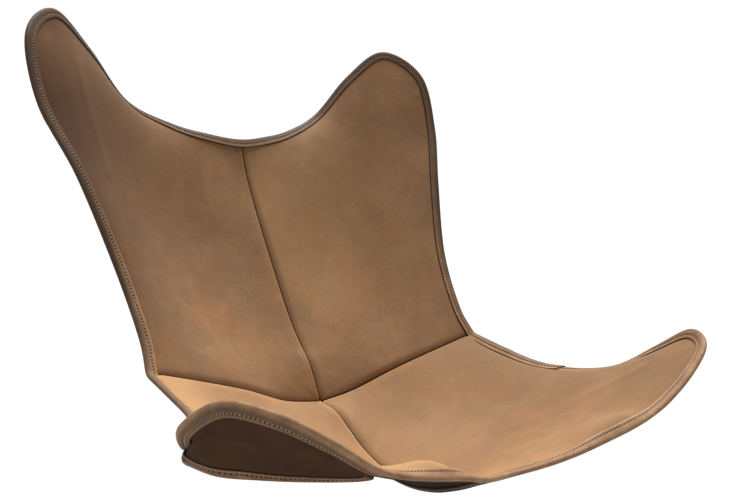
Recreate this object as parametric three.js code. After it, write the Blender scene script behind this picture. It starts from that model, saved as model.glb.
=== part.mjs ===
// Leather sling of a butterfly chair, in millimetres, +Z up, the sitter facing -Y.
// Four panels are sewn together along a back seam, a seat seam and a waist seam. A pocket under
// each wing slips over a corner of the chair's frame, and folded strips bind every edge.
import * as THREE from 'three';

// Reach of the sling from the point where the three seams cross
const rearHalfWidth = 384;
const rearReach = 342;
const rearHeight = 554;
const frontHalfWidth = 414;
const frontReach = 437;
const frontHeight = 177;
const waistHalfWidth = 305;
const waistForward = 18;
const waistRise = 88;
const seatDrop = 48;

// Origin of the part: from the seam crossing to midway between the four corners that hold it
const originForward = 22;
const originRise = 330;

// Leather thicknesses, strip widths and the room between layers
const panelLeather = 3.2;
const pocketLeather = 2.4;
const bindingLeather = 1.5;
const tapeLeather = 1.6;
const bindingWidth = 14;
const hemWidth = 10;
const tapeWidth = 24;
const clearance = 0.3;
const edgeClearance = 0.7;
const tapeClearance = 0.6;
const tapeEndGap = 2;

// How far a panel dishes away from the sitter, and the roll of the seat's front lip
const backDishDepth = 30;
const seatDishDepth = 30;
const lipRise = 22;
const lipReach = 30;

// Pocket leather: how far it runs on past the binding, how much lower it lies there, the bow
// of its face, and the slit left at each end of its mouth
const pocketTurn = 6;
const pocketTurnDrop = 1;
const pocketBow = 5;
const mouthSlit = 1.5;

// Edge of one back half from the top centre round the rear wing, and of one seat half from the
// front centre round the front wing, as shares of half width, reach and height
const backEdgeShares = [
  [0, 0.857, 0.677], [0.146, 0.88, 0.688], [0.305, 0.93, 0.711], [0.495, 0.994, 0.769],
  [0.667, 0.991, 0.906], [0.836, 0.939, 1], [0.984, 0.784, 0.933], [0.984, 0.629, 0.764],
  [0.891, 0.444, 0.592], [0.81, 0.246, 0.383], [0.781, 0.058, 0.231],
];
const seatEdgeShares = [
  [0, 0.897, 0.203], [0.14, 0.945, 0.282], [0.285, 0.989, 0.395], [0.447, 1, 0.48],
  [0.604, 0.995, 0.593], [0.746, 0.989, 0.802], [0.886, 0.943, 0.983], [0.976, 0.833, 1],
  [0.998, 0.7, 0.757], [0.928, 0.595, 0.52], [0.833, 0.481, 0.435], [0.763, 0.355, 0.429],
  [0.744, 0.206, 0.458],
];

// Seams from the crossing outwards: the back and waist seams as shares of their end point, the
// seat seam as shares of its end's reach and of the seat's drop
const backSeamShares = [
  [0.123, 0.133], [0.222, 0.197], [0.334, 0.277], [0.509, 0.437], [0.713, 0.64], [0.894, 0.837],
];
const seatSeamShares = [
  [0.105, -0.06], [0.2, -0.42], [0.286, -0.75], [0.408, -1], [0.548, -1], [0.676, -0.75],
  [0.79, -0.31], [0.893, 0.21],
];
const waistSeamShares = [[0.213, -0.17, 0.102], [0.466, 0.33, 0.443], [0.728, 0.67, 0.727]];

// Wing tips and ends of the pocket mouths, as shares of the edge's length from its centre, and
// the mouths between their ends as shares of half width, reach and height
const rearTipShare = 0.44;
const frontTipShare = 0.545;
const lipShare = 0.6;
const rearMouthEndShares = [0.235, 0.62];
const frontMouthEndShares = [0.3, 0.71];
const rearMouthShares = [
  [0.615, 0.97, 0.767], [0.693, 0.947, 0.74], [0.794, 0.886, 0.708], [0.87, 0.78, 0.702],
  [0.905, 0.684, 0.706],
];
const frontMouthShares = [
  [0.6, 0.945, 0.5], [0.64, 0.9, 0.463], [0.75, 0.86, 0.475], [0.84, 0.82, 0.486],
  [0.925, 0.775, 0.5], [0.94, 0.69, 0.5],
];

// Steps of the mesh, closer together towards the wing tips
const crossSteps = 12;
const backSteps = 14;
const seatSteps = 11;
const pocketSteps = 4;
const jointStep = 3;
const stepGrading = 1.35;
const curveSamples = 24;
const normalPasses = 3;
const skinPasses = 200;

const leatherColour = 0x8f6d4b;
const undersideColour = 0x4a3324;
const bindingColour = 0x6e5540;

const middle = new THREE.Vector3(0, -originForward, originRise);
const point = (x, y, z) => new THREE.Vector3(x, y, z);
const mix = (a, b, share) => a.clone().lerp(b, share);
const direction = (from, to) => to.clone().sub(from).normalize();
const moved = (p, way, distance) => p.clone().addScaledVector(way, distance);
const mirrored = (p) => point(-p.x, p.y, p.z);
const steps = (count, value) => Array.from({ length: count }, (_, i) => value(i));

const lengthOf = (line) => line.slice(1).reduce((sum, p, i) => sum + p.distanceTo(line[i]), 0);

// Share of a polyline's length at each of its points
const lengthShares = (line) => line.map((_, i) => lengthOf(line.slice(0, i + 1)) / lengthOf(line));

// Points at the given shares of a polyline's length
function along(line, shares) {
  const known = lengthShares(line);
  return shares.map((share) => {
    let i = 1;
    while (i < line.length - 1 && known[i] < share) i += 1;
    return mix(line[i - 1], line[i], (share - known[i - 1]) / (known[i] - known[i - 1]));
  });
}

// Smooth curve through the points
function smooth(points) {
  const curve = new THREE.CatmullRomCurve3(points, false, 'catmullrom');
  return curve.getPoints((points.length - 1) * curveSamples);
}

// Smooth curve that crosses the middle of the sling squarely: one half of a mirrored whole
function smoothFromMiddle(points) {
  const whole = smooth([...points.slice(1).reverse().map(mirrored), ...points]);
  return whole.slice((points.length - 1) * curveSamples);
}

const graded = (count) => steps(count + 1, (i) => 1 - (1 - i / count) ** stepGrading);

// Shares along a seam: its first and last steps end just past the strips that cross its ends
function seamSteps(line, count) {
  const first = (tapeWidth / 2 + tapeEndGap) / lengthOf(line);
  const last = (bindingWidth + tapeEndGap) / lengthOf(line);
  const inner = graded(count - 2).map((share) => first + share * (1 - first - last));
  return [0, ...inner, 1];
}

// Stretched skin between four edges: it starts as the sum of the two ruled surfaces less the
// bilinear one, and each inner point settles midway between its neighbours
function stretched({ bottom, top, left, right }, us, vs) {
  const end = us.length - 1;
  const last = vs.length - 1;
  const grid = us.map((u, i) => vs.map((v, j) => {
    if (i === 0) return left[j].clone();
    if (i === end) return right[j].clone();
    if (j === 0) return bottom[i].clone();
    if (j === last) return top[i].clone();
    const across = mix(left[j], right[j], u);
    const up = mix(bottom[i], top[i], v);
    const corners = mix(mix(left[0], right[0], u), mix(left[last], right[last], u), v);
    return across.add(up).sub(corners);
  }));
  for (let pass = 0; pass < skinPasses; pass += 1) {
    for (let i = 1; i < end; i += 1) {
      for (let j = 1; j < last; j += 1) {
        const sum = grid[i - 1][j].clone().add(grid[i + 1][j]);
        grid[i][j] = sum.add(grid[i][j - 1]).add(grid[i][j + 1]).divideScalar(4);
      }
    }
  }
  return grid;
}

// Two triangles of a quad, divided from its first corner to its third
const quad = (a, b, c, d) => [[a, b, c], [a, c, d]];

// Quads of a grid of points, numbered column by column
function gridFaces(columns, rows) {
  const number = (i, j) => i * rows + j;
  const faces = [];
  for (let i = 0; i < columns - 1; i += 1) {
    for (let j = 0; j < rows - 1; j += 1) {
      faces.push(...quad(number(i, j), number(i + 1, j), number(i + 1, j + 1), number(i, j + 1)));
    }
  }
  return faces;
}

// Unit normals at the points of a surface, weighted by the area of the faces around them
function pointNormals(points, faces) {
  const normals = points.map(() => point(0, 0, 0));
  for (const [a, b, c] of faces) {
    const n = points[b].clone().sub(points[a]).cross(points[c].clone().sub(points[a]));
    for (const k of [a, b, c]) normals[k].add(n);
  }
  return normals.map((n) => n.normalize());
}

// Edge or seam points of a half panel in order round it: the edge from the middle to the wing
// tip and on to the waist, then the waist seam back to the crossing, then the centre seam
function roundPanel(grid) {
  const end = grid.length - 1;
  const last = grid[0].length - 1;
  return [
    ...steps(end, (i) => [i, last]),
    ...steps(last, (j) => [end, last - j]),
    ...steps(end, (i) => [end - i, 0]),
    ...steps(last, (j) => [0, j]),
  ];
}

// Line inside the panel's outline: a binding's width from its edges, half a tape from its seams
function insetLine(grid, normals, side) {
  const rows = grid[0].length;
  const places = roundPanel(grid);
  const count = places.length;
  const atWaist = grid.length - 1 + rows - 1;
  const atCrossing = atWaist + grid.length - 1;
  const outline = places.map(([i, j]) => grid[i][j]);
  let ups = places.map(([i, j]) => normals[i * rows + j]);
  for (let pass = 0; pass < normalPasses; pass += 1) {
    ups = ups.map((up, k) => up.clone().multiplyScalar(2)
      .add(ups[(k + count - 1) % count]).add(ups[(k + 1) % count]).normalize());
  }
  const inward = (k, from, to) => direction(from, to).cross(ups[k]).normalize().multiplyScalar(side);
  return outline.map((p, k) => {
    const before = outline[(k + count - 1) % count];
    const after = outline[(k + 1) % count];
    const width = k > atWaist ? tapeWidth / 2 : bindingWidth;
    if (k > 0 && k !== atWaist && k !== atCrossing) return moved(p, inward(k, before, after), width);
    const widthBefore = k > 0 && k <= atWaist ? bindingWidth : tapeWidth / 2;
    const widthAfter = k === 0 ? bindingWidth : tapeWidth / 2;
    return moved(moved(p, inward(k, before, p), widthBefore), inward(k, p, after), widthAfter);
  });
}

// Half panel: a stretched skin inside its inset line, and the band between that line and the
// outline. Every point has a drop, the way through the leather to its underside.
function halfPanel({ edge, tipShare, seam, count, side, dishDepth, lip }) {
  const us = graded(crossSteps);
  const vs = graded(count);
  const rough = stretched({
    bottom: along(waistSeam, seamSteps(waistSeam, crossSteps)),
    left: along(seam, seamSteps(seam, count)),
    top: along(edge, us.map((u) => u * tipShare)),
    right: along(edge, vs.map((v) => 1 - v * (1 - tipShare))),
  }, us, vs);
  const rows = vs.length;
  const turned = (faces) => (side > 0 ? faces : faces.map(([a, b, c]) => [a, c, b]));
  const inside = turned(gridFaces(us.length, rows));
  const normals = pointNormals(rough.flat(), inside);
  const places = roundPanel(rough);
  const outline = places.map(([i, j]) => rough[i][j]);
  const inset = insetLine(rough, normals, side);
  const atWaist = crossSteps + count;
  const atCrossing = atWaist + crossSteps;
  const around = (k) => inset[k % inset.length];
  const grid = stretched({
    bottom: us.map((_, i) => around(atCrossing - i)),
    left: vs.map((_, j) => around(atCrossing + j)),
    top: us.map((_, i) => around(i)),
    right: vs.map((_, j) => around(atWaist - j)),
  }, us, vs);
  const deepest = pointNormals(grid.flat(), inside);
  grid.forEach((column, i) => {
    let fromEdge = bindingWidth;
    for (let j = rows - 1; j >= 0; j -= 1) {
      if (j < rows - 1) fromEdge += column[j].distanceTo(column[j + 1]);
      const dish = dishDepth * Math.sin(Math.PI * us[i]) * Math.sin(Math.PI * vs[j]);
      column[j].addScaledVector(deepest[i * rows + j], -dish);
      const roll = fromEdge / lipReach;
      const window = us[i] < lipShare ? Math.sin(Math.PI * us[i] / lipShare) ** 2 : 0;
      column[j].z += lip * window * (roll * Math.exp(1 - roll)) ** 2;
    }
  });
  const points = [...grid.flat(), ...outline];
  const outer = (k) => grid.length * rows + (k % outline.length);
  const inner = (k) => {
    const [i, j] = places[k % places.length];
    return i * rows + j;
  };
  const band = [];
  const addBand = (a, b) => band.push(...quad(outer(a), outer(b), inner(b), inner(a)));
  for (let k = 0; k < atWaist; k += 1) addBand(k, k + 1);
  const crossed = [atCrossing, atCrossing + 1];
  band.push(...quad(outer(crossed[1]), inner(crossed[1]), inner(crossed[0]), outer(crossed[0])));
  for (let k = crossed[1]; k < outline.length; k += 1) addBand(k, k + 1);
  const waistBand = [];
  for (let k = atCrossing; k > atWaist; k -= 1) {
    waistBand.push(...quad(outer(k), outer(k - 1), inner(k - 1), inner(k)));
  }
  const bandTurned = turned(band.map(([a, b, c]) => [a, c, b]));
  const faces = [...inside, ...bandTurned, ...turned(waistBand)];
  const drops = pointNormals(points, faces).map((n) => n.negate());
  for (let k = atCrossing; k <= outline.length; k += 1) drops[outer(k)].setX(0).normalize();
  return { points, drops, faces, outer, inner, atWaist, atCrossing, size: outline.length, side };
}

// The two panels of a side share one mitred drop at each point of the waist seam
function joinAtWaist(back, seat) {
  for (let i = 0; i <= crossSteps; i += 1) {
    const a = back.drops[back.outer(back.atCrossing - i)];
    const b = seat.drops[seat.outer(seat.atCrossing - i)];
    const shared = a.clone().add(b).normalize();
    shared.divideScalar(shared.dot(a));
    a.copy(shared);
    b.copy(shared);
  }
}

// Surfaces joined where their points meet; faces that shrink to nothing are left out
function joined(surfaces) {
  const places = new Map();
  const points = [];
  const drops = [];
  const faces = [];
  for (const surface of surfaces) {
    const numbers = surface.points.map((p, k) => {
      const drop = surface.drops[k];
      const place = [...p.toArray(), ...drop.toArray()].map((value) => value.toFixed(3)).join(' ');
      if (!places.has(place)) {
        places.set(place, points.length);
        points.push(p);
        drops.push(drop);
      }
      return places.get(place);
    });
    for (const face of surface.faces) {
      const [a, b, c] = face.map((k) => numbers[k]);
      if (a !== b && b !== c && c !== a) faces.push([a, b, c]);
    }
  }
  return { points, drops, faces };
}

const turnedOver = ({ points, drops, faces }) =>
  ({ points, drops, faces: faces.map(([a, b, c]) => [a, c, b]) });

const mirroredSurface = ({ points, drops, faces }) =>
  turnedOver({ points: points.map(mirrored), drops: drops.map(mirrored), faces });

const bothHalves = (surface) => joined([surface, mirroredSurface(surface)]);

// Closed sheet of leather between two depths below a surface
function leather({ points, drops, faces }, depth, thickness) {
  const upper = points.map((p, k) => moved(p, drops[k], depth));
  const lower = points.map((p, k) => moved(p, drops[k], depth + thickness));
  const count = points.length;
  const shell = [];
  const open = new Map();
  for (const [a, b, c] of faces) {
    shell.push([a, b, c], [a + count, c + count, b + count]);
    for (const [p, q] of [[a, b], [b, c], [c, a]]) {
      if (!open.delete(`${q} ${p}`)) open.set(`${p} ${q}`, [p, q]);
    }
  }
  for (const [p, q] of open.values()) shell.push(...quad(q, p, p + count, q + count));
  return { points: [...upper, ...lower], faces: shell };
}

function part(name, { points, faces }, colour) {
  const volume = faces.reduce((sum, [a, b, c]) =>
    sum + points[a].dot(points[b].clone().cross(points[c])), 0);
  const outward = volume > 0 ? faces : faces.map(([a, b, c]) => [a, c, b]);
  const geometry = new THREE.BufferGeometry();
  const places = points.flatMap((p) => p.clone().sub(middle).toArray());
  geometry.setAttribute('position', new THREE.Float32BufferAttribute(places, 3));
  geometry.setIndex(outward.flat());
  geometry.computeVertexNormals();
  const material = new THREE.MeshStandardMaterial({ color: colour, roughness: 0.72, metalness: 0 });
  const mesh = new THREE.Mesh(geometry, material);
  mesh.name = name;
  return mesh;
}

// Outline point of a half panel with the point inside it, and the way out of the leather
function station(half, k) {
  const outer = half.points[half.outer(k)];
  const inner = half.points[half.inner(k)];
  return {
    outer,
    inner,
    outerDrop: half.drops[half.outer(k)],
    innerDrop: half.drops[half.inner(k)],
    outward: direction(inner, outer),
  };
}

const stationsBetween = (half, from, to) => steps(to - from + 1, (i) => station(half, from + i));

// Station at the end of a seam, whose inner point lies on the seam itself
function seamEnd(half, k, neighbour, width) {
  const [end, next] = [half.outer(k), half.outer(neighbour)];
  const share = width / half.points[end].distanceTo(half.points[next]);
  return {
    outer: half.points[end],
    inner: mix(half.points[end], half.points[next], share),
    outerDrop: half.drops[end],
    innerDrop: mix(half.drops[end], half.drops[next], share),
    outward: direction(half.points[next], half.points[end]),
  };
}

// Strip folded round an edge: over it, out round it and back underneath. Its rows are the inner
// line above, three along the edge, and the inner line below.
function folded(stations) {
  const points = [];
  const drops = [];
  for (const { outer, inner, outerDrop, innerDrop, outward, depth } of stations) {
    const add = (p, way) => {
      points.push(p);
      drops.push(way);
    };
    const down = outerDrop.clone().normalize();
    const out = moved(outward, down, -down.dot(outward)).normalize();
    const edge = moved(outer, out, edgeClearance);
    const below = depth + clearance;
    const slanted = (sign) => moved(out, down, sign).normalize();
    add(moved(inner, innerDrop, -clearance), innerDrop.clone().negate());
    add(moved(edge, outerDrop, -clearance), slanted(-1));
    add(moved(edge, outerDrop, depth / 2), out);
    add(moved(edge, outerDrop, below), slanted(1));
    add(moved(inner, innerDrop, below), innerDrop.clone());
  }
  const rows = 5;
  const faces = [];
  for (let i = 0; i < stations.length - 1; i += 1) {
    for (let j = 0; j < rows - 1; j += 1) {
      const [a, b] = [i * rows + j, (i + 1) * rows + j];
      faces.push(...(j === 0 ? quad(a + 1, b + 1, b, a) : quad(a, a + 1, b + 1, b)));
    }
  }
  return { points, drops, faces };
}

// Pocket under a wing: it lies in the binding along the edge, runs on a little way, then falls
// away to its mouth, a curve between two points of the edge
function pocketSurface(half, ends, mouthLine) {
  const stations = stationsBetween(half, ...ends);
  const turn = stations.map(({ inner, innerDrop, outward }) =>
    moved(moved(inner, outward, -pocketTurn), innerDrop, panelLeather + clearance + pocketTurnDrop));
  const mouthEnd = (k) => moved(moved(turn[k], stations[k].outward, -mouthSlit),
    stations[k].innerDrop, mouthSlit);
  const last = stations.length - 1;
  const shares = lengthShares(stations.map(({ inner }) => inner));
  const mouth = along(smooth([mouthEnd(0), ...mouthLine, mouthEnd(last)]), shares);
  const points = stations.flatMap(({ outer, inner, outerDrop, innerDrop }, k) => {
    const depth = panelLeather + clearance;
    const height = turn[k].distanceTo(mouth[k]);
    const hemRoom = Math.min(hemWidth, height / 2) / height;
    const face = steps(pocketSteps, (i) => (i / pocketSteps) * (1 - hemRoom)).slice(1);
    const bow = (share) => pocketBow * Math.sin(Math.PI * share) * Math.sin(Math.PI * shares[k]);
    const rowsBelow = [...face, 1 - hemRoom].map((share) =>
      moved(mix(turn[k], mouth[k], share), stations[k].outward, bow(share)));
    return [moved(outer, outerDrop, depth), moved(inner, innerDrop, depth), turn[k],
      ...rowsBelow, mouth[k]];
  });
  const rows = points.length / stations.length;
  const faces = gridFaces(stations.length, rows);
  const hemRow = rows - 2;
  for (let i = 0; i < last; i += 1) {
    const [a, b] = [i * rows + hemRow, (i + 1) * rows + hemRow];
    const firstFace = 2 * (i * (rows - 1) + hemRow);
    faces.splice(firstFace, 2, ...quad(a + 1, a, b, b + 1));
  }
  const normals = pointNormals(points, faces);
  const drops = normals.map((normal, k) => {
    const { outerDrop, innerDrop } = stations[Math.floor(k / rows)];
    return [outerDrop, innerDrop][k % rows] ?? normal.multiplyScalar(half.side);
  });
  return { points, drops, faces, rows, hemRow };
}

// Hem of a pocket's mouth, where the pocket is deep enough to take it
function hemSurface({ points, drops, rows, hemRow }) {
  const stations = [];
  for (let k = 0; k < points.length; k += rows) {
    const [inner, outer] = [points[k + hemRow], points[k + hemRow + 1]];
    if (inner.distanceTo(outer) > hemWidth / 2) {
      stations.push({
        inner,
        outer,
        innerDrop: drops[k + hemRow],
        outerDrop: drops[k + hemRow + 1],
        outward: direction(inner, outer),
        depth: pocketLeather,
      });
    }
  }
  return folded(stations);
}

const rearPoint = ([x, y, z]) => point(x * rearHalfWidth, y * rearReach, z * rearHeight);
const frontPoint = ([x, y, z]) => point(x * frontHalfWidth, -y * frontReach, z * frontHeight);
const backEdgePoints = backEdgeShares.map(rearPoint);
const seatEdgePoints = seatEdgeShares.map(frontPoint);
const crossing = point(0, 0, 0);
const topCentre = backEdgePoints[0];
const frontCentre = seatEdgePoints[0];
const waistEnd = point(waistHalfWidth, -waistForward, waistRise);
const waistSeam = smooth([crossing, ...waistSeamShares.map(([x, y, z]) =>
  point(x * waistEnd.x, y * waistEnd.y, z * waistEnd.z)), waistEnd]);
const backSeam = smooth([crossing, ...backSeamShares.map(([y, z]) =>
  point(0, y * topCentre.y, z * topCentre.z)), topCentre]);
const seatSeam = smooth([crossing, ...seatSeamShares.map(([y, z]) =>
  point(0, y * frontCentre.y, z * seatDrop)), frontCentre]);

const back = halfPanel({
  edge: smoothFromMiddle([...backEdgePoints, waistEnd]),
  tipShare: rearTipShare,
  seam: backSeam,
  count: backSteps,
  side: 1,
  dishDepth: backDishDepth,
  lip: 0,
});
const seat = halfPanel({
  edge: smoothFromMiddle([...seatEdgePoints, waistEnd]),
  tipShare: frontTipShare,
  seam: seatSeam,
  count: seatSteps,
  side: -1,
  dishDepth: seatDishDepth,
  lip: lipRise,
});
joinAtWaist(back, seat);

// Panel with its seam edges drawn back by half the clearance
function panelSurface(half) {
  const points = half.points.map((p) => p.clone());
  for (let k = half.atWaist; k <= half.size; k += 1) {
    const [outer, inner] = [points[half.outer(k)], half.points[half.inner(k)]];
    outer.addScaledVector(inner.clone().sub(outer), clearance / tapeWidth);
  }
  return { points, drops: half.drops, faces: half.faces };
}

// Station of the edge nearest to a share of its length from the middle
function edgeStation(half, tipShare, share) {
  const shares = [
    ...graded(crossSteps).map((u) => u * tipShare),
    ...graded(half.atWaist - crossSteps).reverse().slice(1).map((v) => 1 - v * (1 - tipShare)),
  ];
  return shares.reduce((best, value, k) =>
    (Math.abs(value - share) < Math.abs(shares[best] - share) ? k : best), 0);
}

const rearEnds = rearMouthEndShares.map((share) => edgeStation(back, rearTipShare, share));
const frontEnds = frontMouthEndShares.map((share) => edgeStation(seat, frontTipShare, share));
const rearPocket = pocketSurface(back, rearEnds, rearMouthShares.map(rearPoint));
const frontPocket = pocketSurface(seat, frontEnds, frontMouthShares.map(frontPoint));

// Binding stations of a half panel between two outline points; it is deeper over a pocket
function bindingStations(half, from, to, ends) {
  return steps(to - from + 1, (i) => {
    const k = from + i;
    const overPocket = k >= ends[0] && k <= ends[1];
    const depth = panelLeather + (overPocket ? clearance + pocketLeather : 0);
    return { ...station(half, k), depth };
  });
}

// Station a short way from one station towards the next
function stationTowards(from, to, distance) {
  const share = distance / from.outer.distanceTo(to.outer);
  const between = (key) => mix(from[key], to[key], share);
  return {
    ...from,
    outer: between('outer'),
    inner: between('inner'),
    outerDrop: between('outerDrop'),
    innerDrop: between('innerDrop'),
  };
}

// Binding round a seam's end turns there on the seam itself
const atSeamEnd = (half, k, neighbour) =>
  ({ ...seamEnd(half, k, neighbour, bindingWidth), depth: panelLeather });
const aimedAs = (stationThere, end) => ({ ...stationThere, outward: end.outward });

const backWaist = atSeamEnd(back, back.atWaist, back.atWaist + 1);
const topMiddle = atSeamEnd(back, 0, back.size - 1);
const frontMiddle = atSeamEnd(seat, 0, seat.size - 1);
const backRun = bindingStations(back, 0, back.atWaist, rearEnds);
const seatRun = bindingStations(seat, 0, seat.atWaist, frontEnds);
const jointAt = seat.atWaist - jointStep;
const sideRun = seatRun.slice(jointAt, -1);
const frontRun = [
  ...seatRun.slice(1, jointAt),
  stationTowards(seatRun[jointAt], seatRun[jointAt - 1], clearance),
];
const backBinding = bothHalves(joined([
  folded([topMiddle, aimedAs(backRun[0], topMiddle), ...backRun.slice(1, -1),
    aimedAs(backRun[back.atWaist], backWaist), backWaist]),
  turnedOver(folded([...sideRun, aimedAs(seatRun[seat.atWaist], backWaist), backWaist])),
]));
const frontBinding = bothHalves(
  folded([frontMiddle, aimedAs(seatRun[0], frontMiddle), ...frontRun]));

// Tape under a seam: a band on each side of it
function tapeSide(stations) {
  const points = stations.flatMap(({ outer, inner }) => [outer, inner]);
  const drops = stations.flatMap(({ outerDrop, innerDrop }) => [outerDrop, innerDrop]);
  return { points, drops, faces: gridFaces(stations.length, 2) };
}

const centreTape = (half) =>
  bothHalves(tapeSide(stationsBetween(half, half.atCrossing + 1, half.size - 1)));
const waistSide = (half) => tapeSide([
  seamEnd(half, half.atCrossing, half.atCrossing + 1, tapeWidth / 2),
  ...stationsBetween(half, half.atWaist + 1, half.atCrossing).reverse(),
]);
const waistTape = bothHalves(joined([waistSide(back), turnedOver(waistSide(seat))]));

const sling = new THREE.Group();
const sides = { left: (surface) => surface, right: mirroredSurface };
for (const [name, place] of Object.entries(sides)) {
  const pieces = {
    back_panel: [panelSurface(back), 0, panelLeather, leatherColour],
    seat_panel: [panelSurface(seat), 0, panelLeather, leatherColour],
    rear_pocket: [rearPocket, 0, pocketLeather, undersideColour],
    front_pocket: [frontPocket, 0, pocketLeather, undersideColour],
    rear_pocket_hem: [hemSurface(rearPocket), 0, bindingLeather, bindingColour],
    front_pocket_hem: [hemSurface(frontPocket), 0, bindingLeather, bindingColour],
  };
  for (const [piece, [surface, depth, thickness, colour]] of Object.entries(pieces)) {
    sling.add(part(`${piece}_${name}`, leather(place(surface), depth, thickness), colour));
  }
}
const tapeDepth = panelLeather + tapeClearance;
sling.add(part('back_seam_tape', leather(centreTape(back), tapeDepth, tapeLeather), undersideColour));
sling.add(part('seat_seam_tape', leather(centreTape(seat), tapeDepth, tapeLeather), undersideColour));
sling.add(part('waist_seam_tape', leather(waistTape, tapeDepth, tapeLeather), undersideColour));
sling.add(part('edge_binding_back', leather(backBinding, 0, bindingLeather), bindingColour));
sling.add(part('edge_binding_front', leather(frontBinding, 0, bindingLeather), bindingColour));

export default sling;
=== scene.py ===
# %% [markdown]
# # The leather sling of a butterfly chair
# The sling is four pieces of thick oiled leather, sewn together along three seams and bound with a
# folded strip all round. A pocket behind each wing takes a corner of the chair's frame. This lesson
# builds every piece as a surface worked out with numpy, then gives it leather, thread, wear, and
# painted light and shade.

# %% Load the fixed frame
import math

import bpy
import numpy as np
from mathutils import Matrix, Vector


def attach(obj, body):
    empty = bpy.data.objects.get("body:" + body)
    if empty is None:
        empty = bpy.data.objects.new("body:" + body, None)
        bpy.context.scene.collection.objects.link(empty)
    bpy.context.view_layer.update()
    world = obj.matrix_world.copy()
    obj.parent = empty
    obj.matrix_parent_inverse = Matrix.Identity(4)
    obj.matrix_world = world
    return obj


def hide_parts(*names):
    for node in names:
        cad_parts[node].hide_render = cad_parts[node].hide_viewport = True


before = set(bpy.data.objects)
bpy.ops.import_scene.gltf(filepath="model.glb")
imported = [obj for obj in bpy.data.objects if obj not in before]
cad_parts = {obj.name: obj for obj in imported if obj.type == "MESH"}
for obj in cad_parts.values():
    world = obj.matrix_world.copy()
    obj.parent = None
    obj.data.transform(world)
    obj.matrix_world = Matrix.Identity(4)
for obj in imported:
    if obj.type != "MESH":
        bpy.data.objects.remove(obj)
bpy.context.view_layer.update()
print("solid parts in the frame:", len(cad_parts))

# %% [markdown]
# ## The camera
# The sling is seen from its front right, a little above it, and the camera is rolled a few degrees.
# Three turns place it: round the vertical, up from the horizon, and about its own line of sight.
# It then backs away from the point that it aims at.

# %% Place the camera
CAMERA_TURN = math.radians(-40.377)
CAMERA_RISE = math.radians(9.75)
CAMERA_ROLL = math.radians(5.824)
CAMERA_AIM = (0.0264, -0.04, -0.0777)
CAMERA_DISTANCE = 1.4038
PHOTO_WIDTH = 750
FOCAL_PIXELS = 950

camera = bpy.data.objects.new("camera", bpy.data.cameras.new("camera"))
bpy.context.scene.collection.objects.link(camera)
camera.data.lens = camera.data.sensor_width * FOCAL_PIXELS / PHOTO_WIDTH
upright = Matrix.Rotation(CAMERA_TURN, 4, "Z") @ Matrix.Rotation(math.pi / 2 - CAMERA_RISE, 4, "X")
rolled = upright @ Matrix.Rotation(CAMERA_ROLL, 4, "Z")
camera.matrix_world = (
    Matrix.Translation(CAMERA_AIM) @ rolled @ Matrix.Translation((0, 0, CAMERA_DISTANCE))
)
bpy.context.scene.camera = camera
print("lens in millimetres:", round(camera.data.lens, 1))

# %% [markdown]
# ## Sizes
# Lengths are in millimetres from the point where the three seams cross, as a pattern cutter would
# take them: x to the sitter's left, y to the rear, z up. The frame's origin lies elsewhere, so one
# helper turns a finished shape into metres in the frame.

# %% Sizes and the one helper that leaves millimetres
MM = 0.001
REAR_REACH = np.array([384, 342, 554])
FRONT_REACH = np.array([414, -437, 177])
WAIST_END = np.array([305, -18, 88])
SEAT_DROP = 48
FRAME_ORIGIN = np.array([0, -22, 330])

PANEL_LEATHER = 3.2
POCKET_LEATHER = 2.4
BINDING_LEATHER = 1.7
BINDING_WIDTH = 14
HEM_WIDTH = 10
TAPE_WIDTH = 24
TAPE_LEATHER = 1.6
ROOM = 0.25


def in_frame(points):
    """Points in metres in the frame: less the frame's origin, then scaled."""
    return (points - FRAME_ORIGIN) * MM


MIRROR = np.array([-1, 1, 1])
print("largest reach of the sling:", np.abs(np.vstack([REAR_REACH, FRONT_REACH])).max(0))

# %% [markdown]
# ## Curves
# An outline is a few chosen points with a smooth curve through them. The curve leaves each point at
# half the step from the point before to the point after, which keeps it round without overshoot.
# Everything else needs even steps, so a second helper picks points at shares of a curve's length.

# %% Curves through points
SPAN_SAMPLES = 64


def unit(vectors):
    """Vectors divided by their length."""
    return vectors / np.linalg.norm(vectors, axis=-1, keepdims=True)


def smooth(points, samples=SPAN_SAMPLES):
    """Curve through points: each span is the cubic that starts and ends at its two points, with
    slopes of half the step between their neighbours. Works on rows of points too."""
    points = np.asarray(points, float)
    first = 2 * points[:1] - points[1:2]
    last = 2 * points[-1:] - points[-2:-1]
    p = np.concatenate([first, points, last])[:, None]
    t = np.linspace(0, 1, samples, endpoint=False).reshape(1, -1, *[1] * (points.ndim - 1))
    a, b, c, d = (p[k : len(points) - 1 + k] for k in range(4))
    cubic = b + (c - a) * t / 2 + (2 * a - 5 * b + 4 * c - d) * t**2 / 2
    cubic = cubic + (3 * b - a - 3 * c + d) * t**3 / 2
    return np.concatenate([cubic.reshape(-1, *points.shape[1:]), points[-1:]])


def travelled(line):
    """Length along a line from its start to each of its points."""
    return np.append(0, np.cumsum(np.linalg.norm(np.diff(line, axis=0), axis=1)))


def filled(places, known, rows):
    """Rows at new places, each column drawn straight between its values at the known places."""
    return np.stack([np.interp(places, known, column) for column in rows.T], axis=-1)


def at_lengths(line, lengths, values=None):
    """Points of a line, or values held at its points, at the given lengths along it."""
    return filled(lengths, travelled(line), line if values is None else values)


def at_shares(line, shares):
    """Points of a line at shares of its length."""
    return at_lengths(line, shares * travelled(line)[-1])


def from_middle(points):
    """Half of a symmetric curve: the points and their mirror images, smoothed, from x = 0 on."""
    points = np.asarray(points, float)
    whole = smooth(np.vstack([points[:0:-1] * MIRROR, points]))
    return whole[(len(points) - 1) * SPAN_SAMPLES :]


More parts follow.
